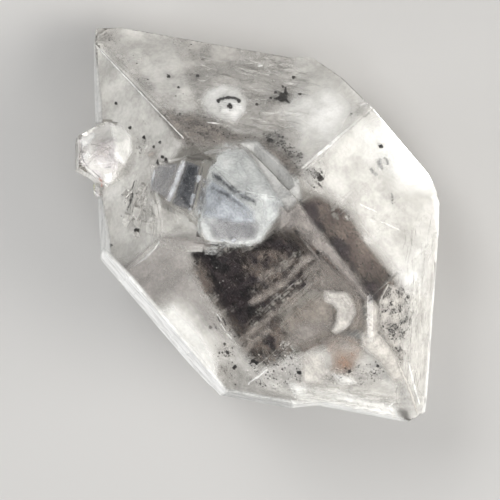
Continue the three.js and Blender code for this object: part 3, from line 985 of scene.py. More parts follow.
@dataclass(frozen=True)
class StrokeField:
    """Many short strokes that run one way inside an outline, such as etched ripples."""

    outline: tuple[Pixel, ...]
    way: Pixel
    count: int
    length_px: tuple[float, float]
    width_px: tuple[float, float]
    depth_mm: tuple[float, float] = (0.06, 0.3)
    stray: float = 0.15
    bow: float = 0.3
    taper: float = 0.9
    seed: int = 1

    def strokes(self) -> tuple[Stroke, ...]:
        """Scatters the strokes.

        Returns:
            The strokes, each with its middle inside the outline.
        """
        chance = random.Random(self.seed)
        x0, y0, x1, y1 = Patch(self.outline, self.depth_mm).bounds()
        found: list[Stroke] = []
        while len(found) < self.count:
            middle = Vector((chance.uniform(x0, x1), chance.uniform(y0, y1)))
            if not inside_polygon((middle.x, middle.y), self.outline):
                continue
            turn = math.atan2(self.way[1], self.way[0]) + chance.gauss(0.0, self.stray)
            half = Vector((math.cos(turn), math.sin(turn))) * chance.uniform(*self.length_px) / 2
            bow = Vector((-half.y, half.x)) * chance.uniform(-self.bow, self.bow)
            path = tuple((spot.x, spot.y) for spot in (middle - half, middle + bow, middle + half))
            found.append(Stroke(path, chance.uniform(*self.width_px), chance.uniform(*self.depth_mm),
                                self.taper))
        return tuple(found)


@dataclass
class StrokeSet:
    """Strokes of one finish as slightly domed strips."""

    name: str
    strokes: tuple[Stroke, ...]
    finish: Finishes
    step_px: float = 2.0
    jitter_px: float = 0.35
    dome_mm: float = 0.05
    side_fade: float = 0.25
    uneven: float = 0.25
    shallowest_mm: float = 0.05
    least_depth_mm: float = 0.02
    longest_mm: float = 0.6
    seed: int = 3

    def build(self, space: CrystalSpace) -> bpy.types.Object:
        """Builds all the strokes as one piece.

        Args:
            space: the room inside the crystal.

        Returns:
            The piece.
        """
        chance = random.Random(self.seed)
        points: list[Vector] = []
        faces: list[tuple[int, ...]] = []
        fades: list[float] = []
        for stroke in self.strokes:
            self.add_stroke(points, faces, fades, stroke, space, chance)
        return new_piece(self.name, points, faces, self.finish, fades)

    def add_stroke(self, points: list[Vector], faces: list[tuple[int, ...]], fades: list[float],
                   stroke: Stroke, space: CrystalSpace, chance: random.Random) -> None:
        """Adds one strip of three rows of corners.

        Args:
            points: the corners so far.
            faces: the faces so far.
            fades: the cover at each corner so far.
            stroke: the line.
            space: the room inside the crystal.
            chance: the seeded source of chance.
        """
        spots = even_steps(stroke.path, self.step_px)
        rows = ((-1, self.side_fade, 0.0), (0, 1.0, self.dome_mm), (1, self.side_fade, 0.0))
        previous: list[int] | None = None
        for k, (spot, way) in enumerate(spots):
            share = k / max(1, len(spots) - 1)
            half = stroke.width_px / 2 * (1 - stroke.taper * abs(2 * share - 1) ** 2)
            side = Vector((-way.y, way.x))
            row: list[int] = []
            for offset, fade, lift in rows:
                reach = offset * half * (1 + chance.uniform(-self.uneven, self.uneven))
                pixel = spot + side * (reach + chance.uniform(-1, 1) * self.jitter_px)
                place = space.seen_at((pixel.x, pixel.y), max(self.shallowest_mm, stroke.depth_mm - lift))
                if place is None or space.depth_of(place) < self.least_depth_mm:
                    row = []
                    break
                row.append(len(points))
                points.append(place)
                fades.append(fade)
            if not row:
                previous = None
                continue
            if previous and (points[row[1]] - points[previous[1]]).length < self.longest_mm * MM:
                faces.append((previous[0], previous[1], row[1], row[0]))
                faces.append((previous[1], previous[2], row[2], row[1]))
            previous = row


def rounded(path: tuple[Pixel, ...], rounds: int = 2) -> list[Vector]:
    """Cuts the corners off a path until it looks like a curve.

    Args:
        path: the bends.
        rounds: how often each corner is cut.

    Returns:
        The bends of the rounded path.
    """
    bends = [Vector(p) for p in path]
    for _ in range(rounds if len(bends) > 2 else 0):
        cut = [bends[0]]
        for first, second in zip(bends, bends[1:]):
            cut += [first.lerp(second, 0.25), first.lerp(second, 0.75)]
        bends = cut + [bends[-1]]
    return bends


def even_steps(path: tuple[Pixel, ...], step: float) -> list[tuple[Vector, Vector]]:
    """Walks a path in even steps, rounded at its bends.

    Args:
        path: the bends.
        step: length of a step.

    Returns:
        Each spot with the way of the path there.
    """
    bends = rounded(path)
    spots: list[tuple[Vector, Vector]] = []
    for first, second in zip(bends, bends[1:]):
        length = (second - first).length
        if length < 1e-6:
            continue
        count = max(1, round(length / step))
        for k in range(count):
            spots.append((first.lerp(second, k / count), (second - first).normalized()))
    spots.append((bends[-1], spots[-1][1]))
    return spots


Piece = FleckCloud | VeilSheets | StrokeSet

SPECKLED_ZONE: tuple[Pixel, ...] = (
    (378, 300), (388, 284), (408, 284), (414, 318), (404, 372), (390, 347), (378, 330))
MATT_SKIN_MM = (-0.012, -0.012)
FROST_SKIN_MM = (-0.015, -0.015)
BUD_SKIN_MM = (-0.010, -0.010)


class SubAssembly:
    """A part of the crystal's inside, whose pieces are built one after another."""

    def pieces(self) -> tuple[Piece, ...]:
        """Gives the pieces in order; each sub-assembly has its own.

        Returns:
            The pieces in order.
        """
        raise NotImplementedError

    def build(self, space: CrystalSpace) -> None:
        """Builds every piece.

        Args:
            space: the room inside the crystal.
        """
        for piece in self.pieces():
            piece.build(space)


@dataclass
class CarbonCore(SubAssembly):
    """The carbon under the front ridge: a brown haze, a black core full of flecks and looser clouds."""

    window: tuple[Pixel, ...] = (
        (182, 250), (215, 246), (250, 246), (266, 232), (280, 220), (300, 236), (324, 258), (320, 282),
        (304, 292), (290, 304), (286, 322), (292, 344), (278, 362), (252, 364), (236, 347), (222, 332),
        (205, 306), (184, 283))
    heart: tuple[Pixel, ...] = (
        (184, 247), (215, 243), (250, 243), (272, 236), (292, 246), (280, 262), (272, 282), (262, 304),
        (252, 326), (234, 322), (216, 304), (202, 288), (188, 266))
    core: tuple[Pixel, ...] = (
        (204, 252), (240, 250), (256, 256), (250, 280), (246, 306), (232, 304), (220, 292), (214, 270))
    lower_knots: tuple[tuple[Pixel, ...], ...] = (
        ((243, 317), (262, 304), (270, 312), (256, 328)),
        ((266, 276), (284, 268), (292, 278), (276, 290)),
        ((262, 330), (274, 326), (282, 344), (272, 352)),
        ((240, 342), (252, 340), (262, 360), (252, 364)),
        ((292, 246), (304, 244), (308, 258), (296, 262)))
    left_haze: tuple[Pixel, ...] = (
        (176, 252), (200, 256), (214, 290), (232, 316), (244, 334), (226, 342), (196, 314), (176, 288))
    smudge_ground: tuple[Pixel, ...] = (
        (188, 250), (215, 245), (250, 245), (276, 224), (300, 236), (324, 258), (318, 280), (302, 292),
        (286, 306), (286, 322), (292, 342), (278, 360), (254, 360), (240, 342), (226, 324), (212, 302))
    smudges: tuple[tuple[Pixel, ...], ...] = (
        ((204, 250), (244, 248), (262, 260), (256, 286), (248, 312), (228, 306), (212, 282)),
        ((266, 274), (290, 266), (310, 272), (304, 288), (280, 296), (266, 288)),
        ((244, 310), (264, 306), (262, 322), (246, 330)),
        ((250, 344), (266, 338), (280, 346), (262, 364)),
        ((296, 202), (316, 198), (326, 226), (316, 238), (302, 222)),
        ((340, 258), (356, 256), (362, 272), (350, 276)))
    mottles: tuple[tuple[Pixel, ...], ...] = (
        ((182, 254), (204, 258), (216, 280), (214, 300), (200, 298), (184, 278)),
        ((240, 252), (270, 246), (296, 252), (288, 274), (266, 294), (244, 284)),
        ((242, 330), (282, 318), (294, 344), (276, 362), (252, 362)))
    junction: tuple[Pixel, ...] = (
        (302, 268), (322, 254), (346, 276), (366, 298), (360, 306), (340, 294), (322, 293), (300, 294))
    rim_above: tuple[Pixel, ...] = (
        (152, 106), (196, 112), (236, 130), (262, 136), (288, 150), (304, 172), (288, 186), (262, 152),
        (244, 143), (216, 146), (196, 150), (176, 140))
    stripe: tuple[Pixel, ...] = (
        (292, 202), (318, 192), (350, 205), (372, 238), (396, 272), (390, 290), (373, 300), (360, 288),
        (343, 266), (326, 247))
    knots: tuple[tuple[Pixel, ...], ...] = (
        ((297, 205), (319, 199), (326, 230), (318, 238), (306, 226)),
        ((326, 242), (338, 234), (352, 246), (352, 262), (340, 262)),
        ((354, 282), (376, 280), (384, 288), (372, 299), (362, 294)))
    speckled: tuple[Pixel, ...] = SPECKLED_ZONE
    foot: tuple[Pixel, ...] = ((240, 350), (285, 345), (303, 352), (306, 386), (270, 394), (244, 378))
    gravel: tuple[Pixel, ...] = ((322, 372), (352, 360), (386, 362), (388, 380), (356, 390), (324, 384))
    clouds: tuple[tuple[Pixel, ...], ...] = (
        ((262, 132), (284, 128), (306, 156), (296, 172), (280, 192), (262, 182), (266, 160)),
        ((300, 166), (330, 168), (322, 190), (304, 186)))
    soft_clouds: tuple[tuple[Pixel, ...], ...] = (
        ((100, 26), (130, 28), (124, 50), (102, 48)), ((180, 38), (214, 40), (206, 64), (182, 62)),
        ((118, 52), (152, 56), (162, 104), (136, 96)), ((168, 66), (200, 68), (190, 100), (164, 98)),
        ((156, 98), (220, 110), (240, 140), (188, 144), (168, 124)),
        ((256, 124), (290, 122), (314, 156), (302, 178), (284, 198), (256, 186), (256, 158)),
        ((350, 104), (362, 112), (346, 124), (338, 116)),
        ((290, 164), (318, 166), (324, 190), (304, 200)), ((160, 62), (206, 64), (194, 106), (158, 98)),
        ((330, 372), (376, 370), (386, 390), (336, 394)),
        ((196, 356), (240, 360), (262, 388), (228, 386)),
        ((266, 366), (302, 364), (306, 386), (274, 392)),
        ((378, 158), (398, 162), (397, 184), (380, 184)),
        ((388, 188), (400, 190), (402, 206), (390, 206)),
        ((120, 178), (150, 174), (164, 222), (128, 230)),
        ((128, 138), (158, 132), (160, 152), (132, 160)),
        ((236, 344), (214, 338), (214, 356), (240, 362)))

    def pieces(self) -> tuple[Piece, ...]:
        """Gives the haze, the core, the flecks and the clouds.

        Returns:
            The pieces in order.
        """
        return (
            VeilSheets(
                "umber_haze",
                (Patch(self.window, (4.0, 6.0), 2, 12.0), Patch(self.stripe, (2.8, 6.0), 2, 9.0)),
                Finishes.UMBER),
            VeilSheets("brown_mottles", same_patches(self.mottles, (1.6, 2.1), 2, 8.0), Finishes.MOTTLE),
            VeilSheets(
                "dark_smudges", (
                    Patch(self.smudge_ground, (1.3, 1.6), 1, 17.0),
                    *same_patches(self.smudges, (1.3, 1.5), 1, 6.0)), Finishes.SMUDGE, step_px=2.0),
            VeilSheets(
                "carbon_haze", (
                    Patch(self.heart, (2.2, 3.6), 3, 17.0), Patch(self.core, (1.9, 2.3), 1, 12.0),
                    *same_patches(self.knots, (1.0, 1.8), 2, 6.0)), Finishes.SMOKE),
            VeilSheets(
                "taupe_haze", (
                    Patch(self.left_haze, (1.4, 2.2), 1, 9.0), Patch(self.junction, (1.2, 2.4), 3, 5.0),
                    Patch(self.foot, (2.4, 3.2), 1, 8.0), Patch(self.gravel, (1.0, 1.4), 1, 6.0)),
                Finishes.TAUPE),
            VeilSheets("brown_rim", (Patch(self.rim_above, (0.3, 0.7), 2, 8.0),), Finishes.BAND),
            *self.fleck_pieces(),
            *self.cloud_pieces())

    def fleck_pieces(self) -> tuple[Piece, ...]:
        """Gives the dense flecks of the core, of its knots and of the stripe beside the ridge.

        Returns:
            The pieces in order.
        """
        knots = same_patches(self.knots, (2.0, 3.6), 300, 7.0)
        lower = same_patches(self.lower_knots, (1.8, 4.6), 170, 5.0)
        return (
            FleckCloud(
                "carbon_flecks", (
                    Patch(self.window, (2.0, 4.0), 1300, 12.0),
                    Patch(self.heart, (2.0, 4.0), 6800, 17.0), Patch(self.core, (2.0, 3.0), 2600, 9.0),
                    Patch(self.stripe, (1.8, 3.4), 160, 9.0)) + knots + lower, Finishes.CARBON,
                sizes_mm=(0.03, 0.16), clumping=0.03, seed=7),)

    def cloud_pieces(self) -> tuple[Piece, ...]:
        """Gives the soft grey clouds, the loose flecks in them and the fine specks by the high tip.

        Returns:
            The pieces in order.
        """
        loose = tuple(
            Patch(outline, (0.3, 1.6), count, 9.0) for outline, count in zip(self.clouds, (1900, 500)))
        loose += same_patches(self.soft_clouds, (0.3, 2.4), 90, 8.0)
        return (
            VeilSheets(
                "soft_clouds", same_patches(self.soft_clouds, (0.5, 2.4), 2, 9.0), Finishes.SOFT_GREY),
            FleckCloud(
                "carbon_clouds", loose, Finishes.CARBON, sizes_mm=(0.03, 0.12), clumping=0.05, seed=11),
            FleckCloud(
                "fine_specks", (
                    Patch(self.speckled, (0.08, 0.3), 1500, 5.0),
                    Patch(self.foot, (0.15, 1.0), 420, 6.0), Patch(self.gravel, (0.1, 0.5), 260, 5.0),
                    Patch(self.rim_above, (0.1, 0.3), 900, 6.0),
                    Patch(self.left_haze, (0.3, 1.6), 160, 6.0)), Finishes.CARBON,
                sizes_mm=(0.025, 0.10), clumps_mm=0.5, clumping=0.05, least_depth_mm=0.05, seed=19),
            FleckCloud(
                "pale_grains", (
                    Patch(self.core, (1.2, 2.0), 26, 4.0), Patch(self.window, (1.2, 2.0), 90, 6.0),
                    Patch(self.gravel, (0.1, 0.5), 420, 5.0), Patch(self.foot, (0.2, 1.0), 240, 6.0)),
                Finishes.GRAIN, sizes_mm=(0.02, 0.07), clumping=-0.4, seed=23))


@dataclass
class BlackSpecks(SubAssembly):
    """Single black flecks close under the faces, and the torn fleck and arc on the top face."""

    arc: tuple[Pixel, ...] = (
        (217.5, 101.5), (219.5, 99.2), (225, 97.6), (232, 97.2), (237, 98.4), (240, 101.5))
    dots: tuple[tuple[Pixel, float], ...] = (
        ((230.5, 106.7), 3.0), ((218.5, 100.8), 1.8), ((239, 100.6), 1.8), ((168.7, 76.3), 1.5),
        ((197.7, 76), 1.2), ((178.6, 87), 1.0), ((144, 137), 1.3), ((130, 128), 1.4), ((139, 230), 1.5),
        ((111.5, 244.7), 1.3), ((116, 103), 1.1), ((300.5, 94), 1.3), ((294, 77), 1.6),
        ((257, 104), 1.3), ((320, 178), 3.0), ((270, 140), 3.0), ((211, 327), 1.3), ((235, 367), 2.0),
        ((253, 361), 2.4), ((274, 349), 2.0), ((299, 372), 2.0), ((381.5, 146), 1.8), ((378, 366), 1.4),
        ((271, 97.6), 1.3), ((276, 92), 1.3), ((283, 86.5), 1.2), ((154, 147), 1.0), ((160, 142), 0.9),
        ((166.5, 161), 1.5), ((163, 157), 1.3), ((158, 163), 1.0), ((350, 371), 1.6), ((257, 363), 1.6),
        ((228, 352), 1.4), ((225, 344), 1.0))
    fleck: tuple[Pixel, ...] = (
        (274, 98.5), (279, 96.5), (281, 92), (284, 93.5), (286, 87), (288, 94), (287, 98),
        (290.5, 103.5), (284.5, 101), (281, 102), (279, 99.5))
    curls: tuple[tuple[tuple[Pixel, ...], float], ...] = (
        (((381, 158), (379, 163), (383, 169)), 4.6), (((384, 157), (388, 160), (388, 165)), 3.0),
        (((371, 168), (374, 173), (378, 175)), 4.0), (((392, 193), (393, 198)), 3.4))
    flecks_per_px: int = 80
    ring_corners: int = 8
    ring_reaches: tuple[float, float] = (0.55, 1.35)
    twist: tuple[Pixel, ...] = ((364, 292), (368, 287), (374, 291), (371, 297))
    cracks: tuple[tuple[tuple[Pixel, ...], float], ...] = (
        (((135, 180), (132, 190), (133, 198)), 0.9), (((132, 196), (130, 204), (126, 213)), 1.2),
        (((134, 190), (131, 200), (129, 206)), 0.8), (((218, 316), (220, 322)), 1.4),
        (((223, 318), (227, 326)), 1.6), (((214, 323), (218, 330)), 1.2))

    def pieces(self) -> tuple[Piece, ...]:
        """Gives the flecks, the arc and the curls.

        Returns:
            The pieces in order.
        """
        patches = tuple(
            Patch(self.ring(spot, reach), (0.12, 0.5), int(self.flecks_per_px * reach), 0.4) for spot,
            reach in self.dots)
        patches += (Patch(self.fleck, (0.15, 0.7), 1500, 0.6),)
        return (
            FleckCloud(
                "black_specks", patches, Finishes.CARBON, sizes_mm=(0.04, 0.11), clumping=-1.0,
                least_depth_mm=0.03, seed=5),
            StrokeSet(
                "black_arcs", (
                    Stroke(self.arc, 2.8, 0.15, 0.4), Stroke(self.twist, 2.0, 1.6, 0.3),
                    *(Stroke(path, width, 0.15, 0.6) for path, width in self.cracks)), Finishes.INK,
                step_px=1.0, jitter_px=0.6, side_fade=0.5),
            StrokeSet(
                "dim_curls", tuple(Stroke(path, width, 0.3, 0.5) for path, width in self.curls),
                Finishes.SLATE, step_px=1.0, jitter_px=0.5, side_fade=0.4))

    def ring(self, spot: Pixel, reach: float) -> tuple[Pixel, ...]:
        """Gives an uneven outline round a spot of the picture.

        Args:
            spot: its middle.
            reach: its mean radius in pixels.

        Returns:
            The outline.
        """
        chance = random.Random(int(spot[0] * 10 + spot[1]))
        turns = [(math.tau * k / self.ring_corners, reach * chance.uniform(*self.ring_reaches))
                 for k in range(self.ring_corners)]
        return tuple((spot[0] + math.cos(t) * r, spot[1] + math.sin(t) * r) for t, r in turns)


@dataclass
class MilkyVeils(SubAssembly):
    """Milky growth zones under the faces, whitest towards the right and the low left edge, where white
    veils also paint the highlights of faces that catch the lamps.
    """

    tip_left: tuple[Pixel, ...] = (
        (86, 16), (97, 22), (106, 50), (188, 140), (154, 186), (162, 238), (126, 272), (92, 262),
        (86, 190), (84, 100))
    tip_top: tuple[Pixel, ...] = (
        (86, 14), (125, 12), (300, 46), (326, 62), (304, 174), (250, 144), (186, 140), (100, 44))
    tip_top_right: tuple[Pixel, ...] = (
        (286, 44), (322, 44), (350, 66), (378, 92), (352, 140), (303, 176), (286, 154), (296, 118),
        (284, 84))
    tip_top_left: tuple[Pixel, ...] = (
        (110, 14), (180, 22), (196, 70), (204, 112), (176, 128), (140, 88), (106, 48))
    right_face: tuple[Pixel, ...] = (
        (294, 168), (316, 150), (366, 92), (388, 76), (434, 118), (466, 170), (466, 222), (416, 290),
        (390, 276), (362, 242), (342, 210), (300, 190))
    low_left: tuple[Pixel, ...] = (
        (124, 268), (166, 236), (192, 248), (198, 284), (220, 308), (240, 336), (262, 364), (308, 394),
        (306, 420), (206, 408), (96, 272))
    # low_shine: painted highlight, a white veil where the low left edge catches the light.
    low_shine: tuple[Pixel, ...] = (
        (150, 302), (176, 300), (200, 328), (222, 362), (216, 384), (196, 372), (160, 336))
    low_corner: tuple[Pixel, ...] = (
        (90, 254), (130, 256), (164, 236), (192, 250), (206, 290), (236, 338), (228, 356), (208, 330),
        (184, 304), (150, 312), (110, 304))
    low_front: tuple[Pixel, ...] = (
        (252, 368), (290, 354), (318, 346), (372, 340), (398, 372), (412, 412), (300, 404), (262, 396))
    # low_edge: painted highlight, a white veil along the bright low edge.
    low_edge: tuple[Pixel, ...] = (
        (286, 380), (310, 384), (350, 392), (396, 402), (408, 424), (300, 414))
    high_tip: tuple[Pixel, ...] = (
        (402, 288), (416, 286), (442, 212), (456, 226), (444, 432), (410, 428), (396, 372))
    beside_small: tuple[Pixel, ...] = (
        (148, 198), (172, 205), (196, 214), (208, 238), (212, 250), (186, 254), (164, 242), (148, 222))
    # right_shine, top_shine and the right foot: painted highlights, white veils where the right face and
    # the top catch the lamps.
    right_shine: tuple[Pixel, ...] = (
        (350, 126), (384, 92), (440, 120), (458, 170), (446, 200), (398, 196), (360, 164))
    top_shine: tuple[Pixel, ...] = (
        (272, 112), (290, 92), (330, 74), (364, 104), (336, 152), (296, 146))
    right_foot_shine: tuple[Pixel, ...] = ((404, 240), (438, 234), (432, 300), (400, 298), (390, 280))
    right_strip: tuple[Pixel, ...] = (
        (432, 196), (436, 240), (432, 290), (427, 350), (423, 400), (418, 424), (440, 430), (446, 300),
        (450, 196))
    small_foot: tuple[Pixel, ...] = (
        (156, 232), (182, 232), (204, 234), (214, 246), (210, 252), (184, 251), (160, 246))
    ridge_head: tuple[Pixel, ...] = (
        (276, 202), (288, 190), (304, 194), (304, 212), (294, 234), (276, 232))
    hollow_wall: tuple[Pixel, ...] = (
        (236, 142), (258, 138), (280, 158), (302, 184), (304, 200), (288, 212), (274, 196), (252, 158))
    side_strip: tuple[Pixel, ...] = (
        (104, 246), (111, 252), (134, 276), (164, 311), (194, 346), (219, 376), (231, 392), (214, 404),
        (190, 380), (156, 340), (122, 300), (92, 262))
    base_strip: tuple[Pixel, ...] = (
        (290, 398), (300, 400), (330, 399), (360, 406), (400, 415), (414, 424), (400, 434), (290, 420))
    left_strips: tuple[tuple[Pixel, ...], ...] = (
        ((95, 30), (103, 100), (104, 124), (84, 124), (82, 30)),
        ((103, 196), (108, 220), (112, 240), (112, 262), (88, 268), (86, 196)),
        ((222, 387), (240, 390), (280, 397), (298, 400), (298, 420), (212, 408)))

    def pieces(self) -> tuple[Piece, ...]:
        """Gives a veil under each face, thicker ones where the crystal is white, white veils that paint
        highlights where the faces catch the lamps, and the frosted sides.

        Returns:
            The pieces in order.
        """
        return (
            VeilSheets(
                "milky_veils", (
                    Patch(self.tip_left, (0.5, 2.6), 3, 5.0),
                    Patch(self.tip_top_right, (0.5, 2.0), 3, 14.0),
                    Patch(self.beside_small, (0.4, 1.4), 2, 7.0),
                    Patch(self.tip_top_left, (0.4, 0.8), 1, 14.0)), Finishes.MILK),
            VeilSheets(
                "grey_veils",
                (Patch(self.tip_top, (0.6, 2.4), 3, 6.0), Patch(self.low_corner, (0.3, 0.6), 2, 12.0)),
                Finishes.GREY_MILK),
            VeilSheets(
                "low_veils", (
                    Patch(self.low_left, (0.7, 3.2), 3, 17.0),
                    Patch(self.low_front, (0.5, 2.4), 3, 9.0),
                    Patch(self.right_face, (0.3, 2.6), 3, 18.0),
                    Patch(self.high_tip, (0.3, 1.8), 3, 7.0)), Finishes.MILK, longest_mm=3.4),
            # Painted highlights: white veils under the right face, the top, the low left edge, the low edge
            # and the right foot, standing in for glare.
            VeilSheets(
                "painted_highlight_veils", (
                    Patch(self.right_shine, (0.3, 0.8), 2, 24.0),
                    Patch(self.low_shine, (0.3, 0.8), 3, 14.0),
                    Patch(self.low_edge, (0.3, 0.6), 2, 8.0),
                    Patch(self.top_shine, (0.3, 0.6), 1, 20.0),
                    Patch(self.right_foot_shine, (0.3, 0.6), 1, 18.0)), Finishes.WHITE),
            FaceSheets(
                "frosted_sides", (
                    Patch(self.side_strip, FROST_SKIN_MM, 1, 4.0),
                    Patch(self.base_strip, FROST_SKIN_MM, 1, 4.0),
                    Patch(self.right_strip, FROST_SKIN_MM, 1, 4.0)), Finishes.FROST),
            FaceSheets(
                "dull_sides", (
                    Patch(self.hollow_wall, MATT_SKIN_MM, 1, 6.0),
                    *same_patches(self.left_strips, MATT_SKIN_MM, 1, 3.0)), Finishes.SIDE_MILK),
            FaceSheets(
                "dull_patches", (
                    Patch(self.ridge_head, MATT_SKIN_MM, 1, 7.0),
                    Patch(self.low_corner, MATT_SKIN_MM, 1, 16.0),
                    Patch(self.small_foot, MATT_SKIN_MM, 1, 6.0)), Finishes.RIDGE),
            VeilSheets(
                "deep_wisps", (
                    Patch(self.tip_top, (6.0, 8.0), 1, 14.0),
                    Patch(self.right_face, (7.0, 9.0), 1, 14.0),
                    Patch(self.low_left, (7.0, 9.5), 2, 14.0)), Finishes.WISP, step_px=4.0, wave_mm=1.4,
                wave_length_mm=4.0, longest_mm=1.6))


@dataclass
class SmallerCrystalLayers(SubAssembly):
    """What a look into the smaller crystal shows: a milky body, bluish layers and dark streaks, with
    painted highlights on its terraces and at one corner.
    """

    body: tuple[Pixel, ...] = (
        (203, 186), (210, 166), (216, 154), (228, 147), (245, 147), (256, 158), (268, 173), (287, 191),
        (290, 204), (270, 230), (262, 242), (247, 248), (206, 246), (194, 214))
    blue_field: tuple[Pixel, ...] = (
        (205, 188), (212, 179), (226, 187), (246, 202), (257, 210), (256, 224), (236, 224), (201, 217))
    cap: tuple[Pixel, ...] = (
        (212, 164), (218, 154), (228, 149), (243, 149), (255, 160), (266, 174), (285, 192), (288, 204),
        (270, 226), (262, 218), (262, 202), (244, 188), (224, 174))
    # shine: painted highlight, a shallow whitish patch where the smaller crystal's corner catches the
    # light.
    shine: tuple[Pixel, ...] = ((274, 206), (280, 196), (287, 195), (288, 204), (280, 212))
    core: tuple[Pixel, ...] = ((235, 160), (240, 160), (250, 178), (246, 182), (238, 172))
    dim: tuple[Pixel, ...] = (
        (206, 222), (228, 214), (252, 216), (264, 226), (256, 240), (236, 244), (212, 240))
    hollow_wall: tuple[Pixel, ...] = (
        (244, 138), (262, 146), (296, 180), (300, 194), (290, 202), (284, 190), (264, 168), (252, 152))
    first_tread: tuple[Pixel, ...] = ((152, 170), (160, 164), (180, 162), (168, 200), (150, 190))
    second_tread: tuple[Pixel, ...] = ((186, 160), (201, 166), (191, 210), (172, 204))
    third_tread: tuple[Pixel, ...] = ((202, 176), (208, 180), (202, 212), (196, 210))
    streak: tuple[Pixel, ...] = (
        (212, 171), (222, 176), (231, 184), (245, 193), (257, 199), (257, 206), (243, 199), (229, 190),
        (220, 182), (211, 177))
    wisp: tuple[Pixel, ...] = ((211, 185), (228, 192), (247, 207), (246, 211), (226, 197), (210, 189))

    def pieces(self) -> tuple[Piece, ...]:
        """Gives the layers with the painted shine, the treads of the terraces, painted highlights on their
        risers and the streaks.

        Returns:
            The pieces in order.
        """
        return (
            # Milky layers of the smaller crystal, with the shine patch as a painted highlight.
            VeilSheets(
                "whitish_layers_and_painted_shine", (
                    Patch(self.body, (0.4, 1.6), 3, 5.0), Patch(self.cap, (0.2, 0.6), 2, 4.0),
                    Patch(self.hollow_wall, (0.2, 1.0), 3, 3.0), Patch(self.core, (0.12, 0.2), 1, 1.5),
                    Patch(self.shine, (0.1, 0.3), 2, 3.0)), Finishes.COOL_MILK, step_px=2.0,
                wave_mm=0.12),
            VeilSheets(
                "bluish_layers", (Patch(self.blue_field, (0.12, 0.4), 2, 4.0),), Finishes.BLUE_MILK,
                step_px=2.0, wave_mm=0.1),
            VeilSheets(
                "terrace_treads", (
                    Patch(self.first_tread, (0.12, 0.4), 2, 3.0),
                    Patch(self.second_tread, (0.12, 0.5), 3, 2.5),
                    Patch(self.third_tread, (0.12, 0.4), 2, 1.5), Patch(self.dim, (0.15, 0.4), 3, 8.0)),
                Finishes.GREY_HAZE, step_px=1.5, wave_mm=0.05, least_depth_mm=0.03),
            # Painted highlights: pale strokes along the terrace risers and edges where they catch the
            # light, and two bright dots on the smaller crystal's lower rim.
            StrokeSet(
                "painted_terrace_highlights", (
                    Stroke(((184.5, 161), (177, 180), (169, 201)), 6.5, 0.1, 0.1),
                    Stroke(((200, 175), (194, 194), (189.5, 211)), 4.5, 0.1, 0.1),
                    Stroke(((155, 170), (151, 187)), 2.4, 0.12),
                    Stroke(((206, 182), (201, 198), (199, 214)), 2.2, 0.1, 0.2),
                    Stroke(((221, 240), (225, 240)), 5.0, 0.15),
                    Stroke(((232, 240), (236, 240)), 5.0, 0.15)), Finishes.STEP_HIGHLIGHT),
            VeilSheets(
                "dark_streaks", (
                    Patch(self.streak, (0.08, 0.14), 1, 2.6), Patch(self.wisp, (0.08, 0.14), 1, 2.4),
                    Patch(self.second_tread, (0.14, 0.3), 2, 3.0)), Finishes.SLATE, step_px=1.0,
                wave_mm=0.04, least_depth_mm=0.02),
            FleckCloud(
                "streak_flecks", (
                    Patch(self.streak, (0.08, 0.25), 760, 3.0),
                    Patch(self.second_tread, (0.1, 0.3), 240, 2.0),
                    Patch(self.third_tread, (0.1, 0.3), 30, 1.0), Patch(self.dim, (0.2, 0.5), 60, 4.0)),
                Finishes.CARBON, sizes_mm=(0.02, 0.06), clumps_mm=0.4, clumping=0.0,
                least_depth_mm=0.03, seed=31),
            FleckCloud(
                "tread_grains", (
                    Patch(self.second_tread, (0.06, 0.12), 120, 2.0),
                    Patch(self.third_tread, (0.06, 0.2), 12, 1.0)), Finishes.GRAIN,
                sizes_mm=(0.02, 0.055), clumping=-0.4, least_depth_mm=0.03, seed=37))


